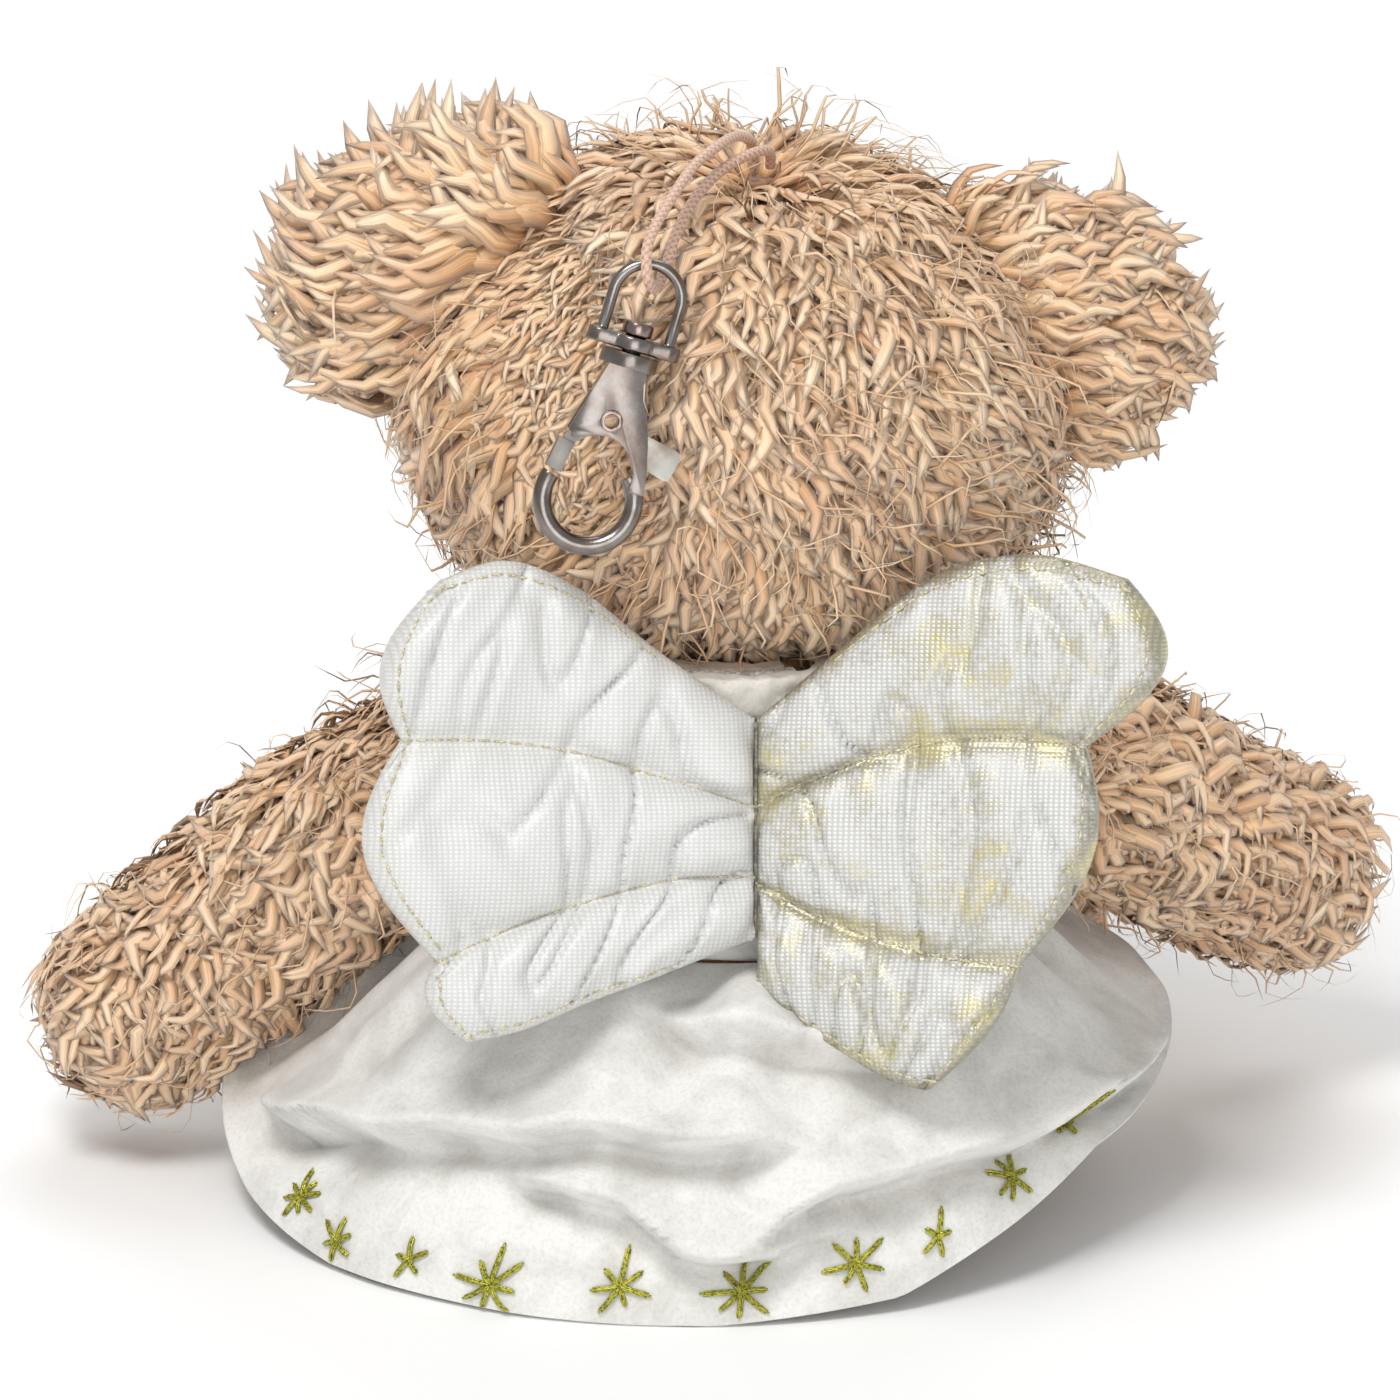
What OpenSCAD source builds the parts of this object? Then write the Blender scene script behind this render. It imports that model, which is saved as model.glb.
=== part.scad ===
// Plush teddy bear keychain: a stuffed bear in a dress with quilted wings, on a cord and a swivel clasp.
// Units are millimetres. +Z is up, the bear faces +Y, and the origin is on the flat seat that it sits on.

/* [Fabric] */
// Thickness of the pile fabric's backing
backing_t = 1.0; // [0.8:0.1:1.2]
// Thickness of the dress fabric
dress_t = 1.2; // [1.0:0.1:1.4]
// Gap between layers that lie on each other
layer_gap = 0.2; // [0.15:0.05:0.25]
// Gap between a limb's rounded root and the socket that it turns in
joint_gap = 0.5; // [0.4:0.1:0.6]

/* [Head] */
// Width of the head without its pile
head_w = 65; // [54:1:78]
// Depth of the head without its pile
head_d = 57; // [48:1:66]
// Height of the head without its pile
head_h = 52; // [44:1:62]
// Sideways lean of the head, in degrees
head_roll = 5; // [0:1:8]
// Distance that an ear stands out of the head
ear_out = 13; // [11:0.5:16]
// Height of an ear
ear_h = 26; // [22:1:31]
// Thickness of an ear
ear_t = 9; // [8:0.5:11]
// Width of the muzzle
muzzle_w = 25; // [21:1:30]
// Diameter of an eye
eye_d = 6; // [5:0.5:7]

/* [Body] */
// Height of the neck above the seat
neck_z = 67; // [60:1:72]
// Width of the body
body_w = 52; // [46:1:58]
// Depth of the body
body_d = 52; // [46:1:58]
// Height of the whole egg that the body is cut from
body_h = 80; // [72:1:90]

/* [Arms] */
// Radius of an arm at the shoulder
shoulder_r = 9; // [8:0.5:10]
// Radius of an arm at the paw
paw_r = 8; // [7:0.5:9]

/* [Legs] */
// Radius of a leg at the hip
hip_r = 12; // [10:0.5:12.5]
// Radius of a leg at the foot
foot_r = 12; // [10:0.5:12.5]

/* [Dress] */
// Height of the waist above the seat
waist_z = 36; // [34:1:40]
// Width of the skirt at its hem
skirt_w = 110; // [100:1:130]
// Reach of the hem behind the body's centre
skirt_back = 49; // [45:1:58]
// Reach of the hem in front of the body's centre
skirt_front = 36; // [33:1:40]
// Height of the neckband
neckband_h = 5; // [4:0.5:6]
// Thickness of the neckband
neckband_t = 2.4; // [2:0.1:3]

/* [Wings] */
// Thickness of a wing's padding at the middle of a lobe
wing_pad = 7; // [5:0.5:8.5]
// Thickness of a wing along its sewn lines and edges
wing_edge = 1.6; // [1.4:0.1:1.8]
// Thickness of a wing's cover
cover_t = 0.5; // [0.4:0.05:0.6]

/* [Clasp] */
// Diameter of the hook's wire
hook_wire = 2.1; // [1.8:0.1:2.5]
// Radius of the hook's lower bend at the wire's middle
hook_bend_r = 5.2; // [4.7:0.1:6]
// Thickness of the hook's flat body
hook_body_t = 3.2; // [2.9:0.1:3.8]
// Diameter of the wire of the swivel eye
eye_wire = 1.3; // [1.1:0.1:1.6]
// Diameter of the swivel post's shank
post_d = 2.2; // [1.9:0.1:2.6]
// Outer diameter of the gate's hollow rivet
rivet_d = 2.0; // [1.7:0.1:2.3]
// Thickness of the gate lever's sheet
lever_t = 0.8; // [0.6:0.1:1]

/* [Cord] */
// Diameter of the braided cord
cord_d = 1.3; // [1.1:0.1:1.5]

/* [Hidden] */

left = -1;
right = 1;
fabric_fn = 64;
metal_fn = 48;

// Colours
fur = "burlywood";
ear_lining = "bisque";
filling = "ivory";
minky = "whitesmoke";
knit = "gainsboro";
foil = "darkkhaki";
nickel = "dimgray";
pale_steel = "silver";
cord_colour = "rosybrown";
plastic = "black";

// Head
head_centre = [0.8, 2, neck_z + head_h / 2];
head_half = [head_w, head_d, head_h] / 2;
// Depth that an ear's root reaches into the head's outline
ear_root = 4;
// Height of the ears' middle above the head's middle
ear_rise = 11;
eye_x = 11;
eye_z = 5;
eye_stem_r = 1;
eye_dome_depth = 2.2;
washer_r = 3.6;
washer_t = 1.2;
muzzle_half = [muzzle_w / 2, 9, 9.5];
muzzle_centre = [0, head_half.y - 2, -8];
nose_half = [4.4, 2.4, 3.2];
// Height of the nose above the muzzle's middle
nose_rise = 3.5;
mouth_thread_r = 0.35;

// Body
// Depth that the body's top reaches above the neck
neck_sink = 5;
body_centre = [0, -4, neck_z + neck_sink - body_h / 2];
body_half = [body_w, body_d, body_h] / 2;

// Arms, from shoulder to paw
shoulder_x = body_half.x + 3.5;
shoulder_z = 53;
left_arm_run = [-37.5, 6, -34];
right_arm_run = [32.5, 28, -26];

// Legs, from hip to foot, for the right leg
hip = [17, 4, hip_r + 0.5];
foot = [27, 42, foot_r];
sole_t = 1.2;
// How far the sole stands in front of the foot's middle
sole_reach = 7;
// Room for the legs to swing: the body's web between them is this far from the middle on each side
crotch_half = 4;
leg_room = [60, 40];

// Skirt
skirt_centre = [-4.4, body_centre.y];
skirt_top_r = [body_half.x, body_half.y] * egg_share(waist_z) + [1, 1] * (layer_gap + dress_t);
skirt_around = 48;
skirt_down = 8;
// Height of the hem round the skirt, from the back at 0 degrees to the bear's right at 90
hem_heights = [
  [-180, 27], [-150, 27], [-125, 22], [-90, 10], [-70, 4], [-50, 1], [0, 0],
  [25, 2], [40, 7.5], [57, 14], [90, 19], [125, 24], [150, 27], [180, 27]
];

// Neckband
neckband_z = neck_z - 3.5;
neckband_r = body_half.x * egg_share(neckband_z) + 0.5;
// Thickness of each half of the hook-and-loop fastener, and the gap under, in and over it
fastener_t = 0.5;
fastener_gap = 0.05;
// Half the angle over which the two ends of the neckband overlap
lap_angle = 22;

// Stars: place round the skirt in degrees, place down the skirt as a share, and size
stars = [
  [-60, 0.86, 5.5], [-50, 0.9, 5], [-38, 0.88, 4.5], [-26, 0.9, 7.5], [-10, 0.86, 6.5],
  [5, 0.88, 7.5], [19, 0.84, 6.5], [30, 0.84, 4.5], [43, 0.82, 6], [56, 0.82, 4]
];
star_stroke = 0.7;
star_t = 0.3;

// Wings
seam_foot = [2.3, -36.5, 41];
seam_tilt = 18.4;
seam_len = 25;
wing_sweep = 14;
// Gap from the seam's middle to a wing's root
wing_root_gap = 1.1;
wing_spans = 9;
lobe_rows = 6;
tape_t = 0.5;
// The four lines of a wing from its root outwards, as distance from the seam and height above its foot:
// top edge, upper sewn line, lower sewn line, bottom edge.
left_wing_lines = [
  [[0, 25], [11.5, 33.5], [20, 40], [28, 43], [35.5, 40.8]],
  [[0, 15], [12, 19], [21, 21.5], [30.5, 22.7], [40, 22.8]],
  [[0, 7], [8, 6.9], [17, 4.9], [26.5, 1.9], [36, -2.2]],
  [[0, 0], [10, -4], [18, -6.8], [26, -10], [32.5, -11.3]]
];
right_wing_lines = [
  [[0, 25], [9, 33], [20, 41.3], [31, 43.7], [42, 41]],
  [[0, 15], [9, 19.4], [18, 22], [28, 23], [37.3, 22]],
  [[0, 6.2], [6, 2.8], [13, 0.2], [21, -1.9], [29.5, -2.8]],
  [[0, -5.5], [5, -10], [10, -13.3], [14.5, -15.8], [19, -17]]
];
// How far the outer edge of each lobe bulges past the straight line between its corners
left_wing_bulge = [4.5, 6.4, 2.8];
right_wing_bulge = [6.8, 4.6, 2];
// Share of a cover's span that is held flat at the root and at the outer edge
wing_flat_ends = 0.16;

// Clasp: its own frame has +Z up along the swivel's axis and its origin at the middle of the collar
clasp_back_tilt = 16;
clasp_lean = 17.3;
clasp_place = [-12, head_centre.y - head_half.y - 3.8, head_centre.z + 15.2];
collar_r = 3.3;
collar_t = 1.6;
band_t = 1.6;
band_gap = 0.3;
band_half_w = 3.9;
band_boss_r = 2.5;
band_depth = 3;
band_z = collar_t / 2 + band_gap;
eye_arc_z = 7.2;
post_clearance = 0.06;
post_head_r = 1.75;
post_head_t = 1.5;
post_seat_gap = 0.15;
rivet_z = -7.1;
rivet_bore_d = rivet_d - 0.4;
rivet_flange_r = rivet_d / 2 + 0.25;
rivet_flange_t = 0.2;
pivot_clearance = 0.06;
slot_w = 1.8;
slot_top = -4.4;
slot_bottom = -12;
lever_y = slot_w / 2 - 0.15 - lever_t / 2;
spring_wire = 0.35;
bend_centre = [0.1, -16.4];
// Angles above the horizontal at which the hook's bend leaves the plate and ends at the tip
leg_angle = 46;
tip_angle = 20;
loop_opening_r = 4.1;
loop_opening_z = -13;

// Cord: the route of its middle, from one strand's exit at the crown to the other's
cord_route = [
  [2, 2, 120.5], [2, 1.5, 122.5], [1.5, -0.5, 124.5], [0, -4, 126], [-2, -9, 126.5], [-4.5, -14, 126],
  [-6.5, -19, 124.8], [-8.5, -24, 123], [-9.5, -27, 121.8], [-10, -29, 120.6], [-10, -30, 119.2],
  [-9.8, -30, 117.6], [-9.4, -28.8, 116.3], [-8.8, -27, 115.8], [-8.2, -25.2, 116.4], [-7.6, -23, 117.6],
  [-6.5, -19, 119.8], [-4.5, -14, 122], [-1.5, -8.5, 123.5], [1.5, -4, 123.8], [3.5, -0.5, 123.2],
  [4, 1.2, 122], [4, 2, 120.5]
];
cord_sides = 8;
knot_r = 2.6;
strand_gap = 2;

// ---- Functions ----

// Share of the body's full width at a height
function egg_share(z) = sqrt(max(0.01, 1 - pow((z - body_centre.z) / body_half.z, 2)));

function unit(v) = v / norm(v);

// Profile of a tapered limb with round ends, as radius and distance along it
function limb_profile(r0, r1, len, n = 9) =
  let (lean = asin((r0 - r1) / len))
  concat(
    [for (i = [0:n]) let (a = -90 + (lean + 90) * i / n) [r0 * cos(a), r0 * sin(a)]],
    [for (i = [0:n]) let (a = lean + (90 - lean) * i / n) [r1 * cos(a), len + r1 * sin(a)]]
  );

// Smooth curve through a list of points, at a share from 0 to 1 of its length
function along(points, share) =
  let (
    last = len(points) - 1,
    at = min(share * last, last - 0.0001),
    i = floor(at),
    f = at - i,
    a = points[max(i - 1, 0)],
    b = points[i],
    c = points[i + 1],
    d = points[min(i + 2, last)]
  )
  0.5 * (2 * b + (c - a) * f + (2 * a - 5 * b + 4 * c - d) * f * f + (3 * b - a - 3 * c + d) * f * f * f);

// A smooth step from 0 to 1
function ease(x) = let (t = min(1, max(0, x))) t * t * (3 - 2 * t);

// Share of a full puff at an angle round the skirt: full at the back, none under the arms
function puff(angle) = pow(max(0, cos(angle)), 0.7);

// Point of the skirt's profile, as radius along each axis and height
function skirt_profile(angle, share) =
  let (
    hem = lookup(angle, hem_heights),
    hem_r = [skirt_w / 2, abs(angle) < 90 ? skirt_back : skirt_front],
    full = puff(angle),
    out = full * sin(90 * share) + (1 - full) * share,
    drop = full * pow(cos(90 * share), 1.4) + (1 - full) * pow(1 - share, 1.25)
  )
  [
    skirt_top_r.x + (hem_r.x - skirt_top_r.x) * out,
    skirt_top_r.y + (hem_r.y - skirt_top_r.y) * out,
    hem + (waist_z - hem) * drop
  ];

function skirt_point(angle, share, inset = 0) =
  let (
    p = skirt_profile(angle, share),
    a = skirt_profile(angle, max(0, share - 0.02)),
    b = skirt_profile(angle, min(1, share + 0.02)),
    run = norm([b.x - a.x, b.y - a.y]) / sqrt(2),
    fall = a.z - b.z,
    slope = unit([fall, run]),
    r = [p.x, p.y] - [1, 1] * inset * slope.x
  )
  [
    skirt_centre.x * share + r.x * sin(angle),
    skirt_centre.y - r.y * cos(angle),
    max(0, p.z - inset * slope.y)
  ];

// A point of a wing in its own plane: span 0 to 1 from root to tip, row 0 to 3 from top edge to bottom edge
function wing_place(lines, bulge, span, row) =
  let (
    lobe = min(2, floor(row)),
    f = row - lobe,
    p = along(lines[lobe], span) * (1 - f) + along(lines[lobe + 1], span) * f,
    swell = bulge[lobe] * sin(180 * f) * pow(span, 3)
  )
  [wing_root_gap + p.x + swell, p.y];

// Half the thickness of a wing at a place
function wing_swell(span, row, pad, edge) =
  let (
    f = row - floor(row),
    across = pow(max(0, sin(180 * f)), 0.6),
    ends = ease(span / wing_flat_ends) * ease((1 - span) / wing_flat_ends)
  )
  (edge + (pad - edge) * across * ends) / 2;

// Grid of one face of a wing; side is -1 for the back and 1 for the front. An inset draws the edge in, but
// keeps each point's thickness, so that a filling stays inside its covers
function wing_face(lines, bulge, side, pad, edge, inset = 0) = [
  for (i = [0:wing_spans])
    for (j = [0:3 * lobe_rows])
      let (
        span = min(1 - inset, max(inset, i / wing_spans)),
        row = min(3 - inset, max(inset, j / lobe_rows)),
        p = wing_place(lines, bulge, span, row)
      )
      [p.x, side * wing_swell(i / wing_spans, j / lobe_rows, pad, edge), p.y]
];

// Faces that close two equal grids over each other, the first one above the second
function grid_faces(rows, cols) =
  let (n = rows * cols, w = cols)
  concat(
    [for (i = [0:rows - 2]) for (j = [0:cols - 2]) each
      [[i * w + j, i * w + j + 1, (i + 1) * w + j + 1], [i * w + j, (i + 1) * w + j + 1, (i + 1) * w + j]]],
    [for (i = [0:rows - 2]) for (j = [0:cols - 2]) each
      [[n + i * w + j, n + (i + 1) * w + j + 1, n + i * w + j + 1],
       [n + i * w + j, n + (i + 1) * w + j, n + (i + 1) * w + j + 1]]],
    [for (i = [0:rows - 2]) each
      [[i * w, (i + 1) * w, n + (i + 1) * w], [i * w, n + (i + 1) * w, n + i * w]]],
    [for (i = [0:rows - 2]) let (e = i * w + cols - 1) each
      [[e, n + e, n + e + w], [e, n + e + w, e + w]]],
    [for (j = [0:cols - 2]) each
      [[j, n + j, n + j + 1], [j, n + j + 1, j + 1]]],
    [for (j = [0:cols - 2]) let (e = (rows - 1) * w + j) each
      [[e, e + 1, n + e + 1], [e, n + e + 1, n + e]]]
  );

// Rings of a tube along a route, each at right angles to the route there
function tube_rings(route, r, sides) =
  let (last = len(route) - 1)
  [for (i = [0:last])
    let (
      run = unit(route[min(i + 1, last)] - route[max(i - 1, 0)]),
      across = unit(cross(run, [1, 0.2, 0.1])),
      up = cross(across, run)
    )
    each [for (k = [0:sides - 1]) let (a = 360 * k / sides) route[i] + r * (across * cos(a) + up * sin(a))]];

function tube_faces(rings, sides) = concat(
  [[for (k = [0:sides - 1]) k]],
  [for (i = [0:rings - 2]) for (k = [0:sides - 1])
    let (a = i * sides + k, b = i * sides + (k + 1) % sides)
    each [[a, a + sides, b + sides], [a, b + sides, b]]],
  [[for (k = [sides - 1:-1:0]) (rings - 1) * sides + k]]
);

// ---- Shared modules ----

module ellipsoid(half) {
  scale(half) sphere(1, $fn = fabric_fn);
}

// A limb with round ends from one point along a run
module limb(from, run, r0, r1) {
  len = norm(run);
  translate(from)
    rotate([0, acos(run.z / len), atan2(run.y, run.x)])
      rotate_extrude($fn = fabric_fn) polygon(limb_profile(r0, r1, len));
}

module rod(from, to, r) {
  run = to - from;
  len = norm(run);
  translate(from)
    rotate([0, acos(run.z / len), atan2(run.y, run.x)])
      cylinder(h = len, r = r, $fn = metal_fn);
}

module slab(z0, z1) {
  reach = 200;
  translate([-reach / 2, -reach / 2, z0]) cube([reach, reach, z1 - z0]);
}

module in_head() {
  translate(head_centre) rotate([0, head_roll, 0]) children();
}

module in_clasp() {
  translate(clasp_place) rotate([-clasp_back_tilt, clasp_lean, 0]) children();
}

// ---- Head ----

module head_outline(inset = 0) {
  ellipsoid(head_half - [1, 1, 1] * inset);
}

module head_panel(side) {
  color(fur) in_head() difference() {
    head_outline();
    head_outline(backing_t);
    translate([side > 0 ? -head_w : 0, -head_d, -head_h]) cube([head_w, 2 * head_d, 2 * head_h]);
    for (s = [left, right])
      translate([s * eye_x, 0, eye_z]) rotate([-90, 0, 0])
        cylinder(h = head_d, r = eye_stem_r + 0.1, $fn = metal_fn);
    crown_hole();
  }
}

// The gap in the crown seam that the cord passes through
module crown_hole() {
  cylinder(h = head_h, r = (strand_gap + cord_d) / 2 + 0.3, $fn = metal_fn);
}

module head_stuffing() {
  depth = head_half.y - backing_t - layer_gap;
  color(filling) in_head() difference() {
    head_outline(backing_t + layer_gap);
    for (s = [left, right])
      translate([s * eye_x, eye_front_y() - backing_t - washer_t - 2.4, eye_z]) rotate([-90, 0, 0])
        cylinder(h = depth, r = washer_r + 0.4, $fn = metal_fn);
    translate([0, 0, head_half.z - 9]) cylinder(h = head_h, r = knot_r + 0.4, $fn = metal_fn);
  }
}

module ear_outline(side, inset = 0) {
  translate([side * (head_half.x - ear_root), 0, ear_rise])
    ellipsoid([ear_out + ear_root, ear_t / 2, ear_h / 2] - [1, 1, 1] * inset);
}

// One of the two fabric layers of an ear; facing is -1 for the back layer and 1 for the front layer
module ear_layer(side, facing) {
  color(facing > 0 ? ear_lining : fur) in_head() difference() {
    ear_outline(side);
    head_outline();
    translate([-head_w, facing > 0 ? -ear_t : 0, -head_h]) cube([2 * head_w, ear_t, 2 * head_h]);
  }
}

module muzzle_outline(inset = 0) {
  translate(muzzle_centre) ellipsoid(muzzle_half - [1, 1, 1] * inset);
}

module muzzle() {
  color(fur) in_head() difference() {
    muzzle_outline();
    muzzle_outline(backing_t);
    head_outline();
  }
}

module muzzle_stuffing() {
  color(filling) in_head() difference() {
    muzzle_outline(backing_t + layer_gap);
    head_outline(-layer_gap);
  }
}

// Place of the muzzle's surface at a height above its middle
function muzzle_front(z) = muzzle_centre.y + muzzle_half.y * sqrt(1 - pow(z / muzzle_half.z, 2));

module nose() {
  color(plastic) in_head() difference() {
    translate([0, muzzle_front(nose_rise), muzzle_centre.z + nose_rise]) ellipsoid(nose_half);
    muzzle_outline();
  }
}

// The sewn mouth: an upright stitch and two that branch from its foot, lying on the muzzle
module mouth_stitching() {
  drop = -2.2;
  smile = 3.4;
  smile_drop = -3.6;
  w = mouth_thread_r;
  lift = 0.05;
  reach = muzzle_half.y + 3;
  outline = [
    [w, 0], [w, drop + w], [smile, smile_drop + w], [smile, smile_drop - w], [0, drop - 1.5 * w],
    [-smile, smile_drop - w], [-smile, smile_drop + w], [-w, drop + w], [-w, 0]
  ];
  color(plastic) in_head() intersection() {
    difference() {
      muzzle_outline(-lift - 2 * w);
      muzzle_outline(-lift);
    }
    translate([0, muzzle_centre.y + reach, muzzle_centre.z]) rotate([90, 0, 0])
      linear_extrude(reach) polygon(outline);
  }
}

// Place of the head's surface where an eye is set
function eye_front_y() = head_half.y * sqrt(1 - pow(eye_x / head_half.x, 2) - pow(eye_z / head_half.z, 2));

module eye(side) {
  stem = backing_t + washer_t + 2.2;
  color(plastic) in_head() translate([side * eye_x, eye_front_y(), eye_z]) rotate([-90, 0, 0]) {
    difference() {
      translate([0, 0, 0.9]) ellipsoid([eye_d / 2, eye_d / 2, eye_dome_depth]);
      translate([-side * eye_x, eye_z, -eye_front_y()]) rotate([90, 0, 0]) head_outline(-0.02);
    }
    translate([0, 0, -stem]) cylinder(h = stem + 0.9, r = eye_stem_r, $fn = metal_fn);
  }
}

module eye_washer(side) {
  color(pale_steel) in_head()
    translate([side * eye_x, eye_front_y() - backing_t - washer_t - 1.9, eye_z]) rotate([-90, 0, 0])
      difference() {
        cylinder(h = washer_t, r = washer_r, $fn = metal_fn);
        translate([0, 0, -1]) cylinder(h = washer_t + 2, r = eye_stem_r + 0.05, $fn = metal_fn);
      }
}

// ---- Body and limbs ----

module body_outline(inset = 0) {
  translate(body_centre) ellipsoid(body_half - [1, 1, 1] * inset);
}

module arm_outline(side, inset = 0) {
  limb([side * shoulder_x, body_centre.y + 2, shoulder_z], side > 0 ? right_arm_run : left_arm_run,
    shoulder_r - inset, paw_r - inset);
}

// The round hollow that an arm's root turns in
module arm_socket(side, gap = joint_gap) {
  translate([side * shoulder_x, body_centre.y + 2, shoulder_z]) sphere(shoulder_r + gap, $fn = fabric_fn);
}

module leg_outline(side, inset = 0) {
  mirror([side > 0 ? 0 : 1, 0, 0]) limb(hip, foot - hip, hip_r - inset, foot_r - inset);
}

// The space that a leg needs as it swings about the upright line through the hip
module leg_socket(side) {
  room_h = hip.z + hip_r + joint_gap;
  mirror([side > 0 ? 0 : 1, 0, 0]) {
    translate([hip.x, hip.y, -1]) cylinder(h = room_h + 1, r = hip_r + joint_gap, $fn = fabric_fn);
    translate([crotch_half, hip.y, -1]) cube([leg_room.x, leg_room.y, room_h + 1]);
  }
}

module limb_sockets() {
  for (side = [left, right]) {
    arm_socket(side);
    leg_socket(side);
  }
}

module body_skin() {
  color(fur) difference() {
    body_outline();
    difference() {
      body_outline(backing_t);
      slab(-body_h, backing_t);
    }
    slab(-body_h, 0);
    in_head() head_outline();
    limb_sockets();
  }
}

module body_stuffing() {
  color(filling) difference() {
    body_outline(backing_t + layer_gap);
    slab(-body_h, backing_t + layer_gap);
    in_head() head_outline(-layer_gap);
    limb_sockets();
  }
}

module arm_skin(side) {
  color(fur) difference() {
    arm_outline(side);
    arm_outline(side, backing_t);
  }
}

module arm_stuffing(side) {
  color(filling) arm_outline(side, backing_t + layer_gap);
}

// Everything in front of the sole's rear face
module sole_side(offset) {
  reach = 100;
  translate([-reach / 2, foot.y + sole_reach + offset, -reach / 2]) cube(reach);
}

module leg_skin(side) {
  color(fur) difference() {
    leg_outline(side);
    leg_outline(side, backing_t);
    sole_side(0);
  }
}

module leg_stuffing(side) {
  color(filling) difference() {
    leg_outline(side, backing_t + layer_gap);
    sole_side(-layer_gap);
  }
}

module sole(side) {
  sole_r = sqrt(pow(foot_r, 2) - pow(sole_reach, 2));
  color(ear_lining)
    translate([side * foot.x, foot.y + sole_reach, foot.z])
      rotate([-90, 0, 0]) cylinder(h = sole_t, r = sole_r, $fn = fabric_fn);
}

// ---- Dress ----

module dress_bodice() {
  color(minky) difference() {
    body_outline(-layer_gap - dress_t);
    body_outline(-layer_gap);
    slab(-body_h, waist_z);
    slab(neckband_z, neckband_z + body_h);
    for (side = [left, right]) arm_socket(side, 2 * joint_gap);
  }
}

module dress_skirt() {
  cols = skirt_down + 1;
  angles = [for (i = [0:skirt_around - 1]) -180 + 360 * i / skirt_around];
  outer = [for (a = angles) for (j = [0:skirt_down]) skirt_point(a, j / skirt_down)];
  inner = [for (a = angles) for (j = [0:skirt_down]) skirt_point(a, j / skirt_down, dress_t)];
  n = len(outer);
  faces = [for (i = [0:skirt_around - 1]) for (j = [0:skirt_down])
    let (a = i * cols, b = ((i + 1) % skirt_around) * cols, k = j + 1)
    each j < skirt_down
      ? [[a + j, b + j, b + k], [a + j, b + k, a + k],
         [n + a + j, n + b + k, n + b + j], [n + a + j, n + a + k, n + b + k]]
      : [[a, n + a, n + b], [a, n + b, b], [a + j, b + j, n + b + j], [a + j, n + b + j, n + a + j]]];
  color(minky) polyhedron(concat(outer, inner), faces);
}

// Part of a ring round the neck; angles run from the bear's front, positive towards its right.
// From the angle step_at on, the band runs further out by step_out, where it laps over what lies inside it.
module neck_arc(r, t, a0, a1, step_at = 400, step_out = 0) {
  every = 4;
  steps = ceil((a1 - a0) / every);
  angles = [for (i = [0:steps]) a0 + (a1 - a0) * i / steps];
  function reach(a) = r + step_out * ease((a - step_at) / 9);
  inner = [for (a = angles) reach(a) * [sin(a), cos(a)]];
  outer = [for (i = [steps:-1:0]) (reach(angles[i]) + t) * [sin(angles[i]), cos(angles[i])]];
  translate([0, body_centre.y, neckband_z]) linear_extrude(neckband_h) polygon(concat(inner, outer));
}

module neckband_left() {
  color(ear_lining) neck_arc(neckband_r, neckband_t, -180 - lap_angle + 4, -0.5);
}

module neckband_right() {
  lap_start = 180 - lap_angle - 12;
  lap_over = neckband_t + 2 * fastener_t + 3 * fastener_gap;
  color(minky) neck_arc(neckband_r, neckband_t, 0.5, 180 + lap_angle, lap_start, lap_over);
}

module fastener_loops() {
  inner = neckband_r + neckband_t + fastener_gap;
  color(filling) neck_arc(inner, fastener_t, 180 - lap_angle + 2, 180 + lap_angle - 4);
}

module fastener_hooks() {
  inner = neckband_r + neckband_t + fastener_t + 2 * fastener_gap;
  color(filling) neck_arc(inner, fastener_t, 180 - lap_angle + 2, 180 + lap_angle - 4);
}

module star_embroidery() {
  color(foil) for (s = stars) {
    p = skirt_point(s.x, s.y);
    down = unit(skirt_point(s.x, s.y + 0.05) - skirt_point(s.x, s.y - 0.05));
    along_hem = unit(skirt_point(s.x + 3, s.y) - skirt_point(s.x - 3, s.y));
    out = unit(cross(down, along_hem));
    multmatrix([
      [along_hem.x, -down.x, out.x, p.x + 0.12 * out.x],
      [along_hem.y, -down.y, out.y, p.y + 0.12 * out.y],
      [along_hem.z, -down.z, out.z, p.z + 0.12 * out.z]
    ])
      for (turn = [0, 60, 120])
        rotate([0, 0, turn]) translate([-s.z / 2, -star_stroke / 2, 0]) cube([s.z, star_stroke, star_t]);
  }
}

// ---- Wings ----

module in_wing(side) {
  translate(seam_foot) rotate([-seam_tilt, 0, 0]) rotate([0, 0, -side * wing_sweep])
    mirror([side > 0 ? 0 : 1, 0, 0]) children();
}

function wing_lines(side) = side > 0 ? right_wing_lines : left_wing_lines;
function wing_bulge(side) = side > 0 ? right_wing_bulge : left_wing_bulge;

// One cover of a wing; facing is -1 for the cover on the bear's back side and 1 for the other
module wing_cover(side, facing) {
  lines = wing_lines(side);
  bulge = wing_bulge(side);
  outer = wing_face(lines, bulge, 1, wing_pad, wing_edge);
  inner = wing_face(lines, bulge, 1, wing_pad - 2 * cover_t, wing_edge - 2 * cover_t);
  in_wing(side) mirror([0, facing > 0 ? 0 : 1, 0])
    polyhedron(concat(outer, inner), grid_faces(wing_spans + 1, 3 * lobe_rows + 1));
}

module wing_batting(side) {
  lines = wing_lines(side);
  bulge = wing_bulge(side);
  room = 2 * (cover_t + layer_gap / 2);
  front = wing_face(lines, bulge, 1, wing_pad - room, wing_edge - room, 0.02);
  back = wing_face(lines, bulge, -1, wing_pad - room, wing_edge - room, 0.02);
  color(filling) in_wing(side) polyhedron(concat(front, back), grid_faces(wing_spans + 1, 3 * lobe_rows + 1));
}

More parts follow.
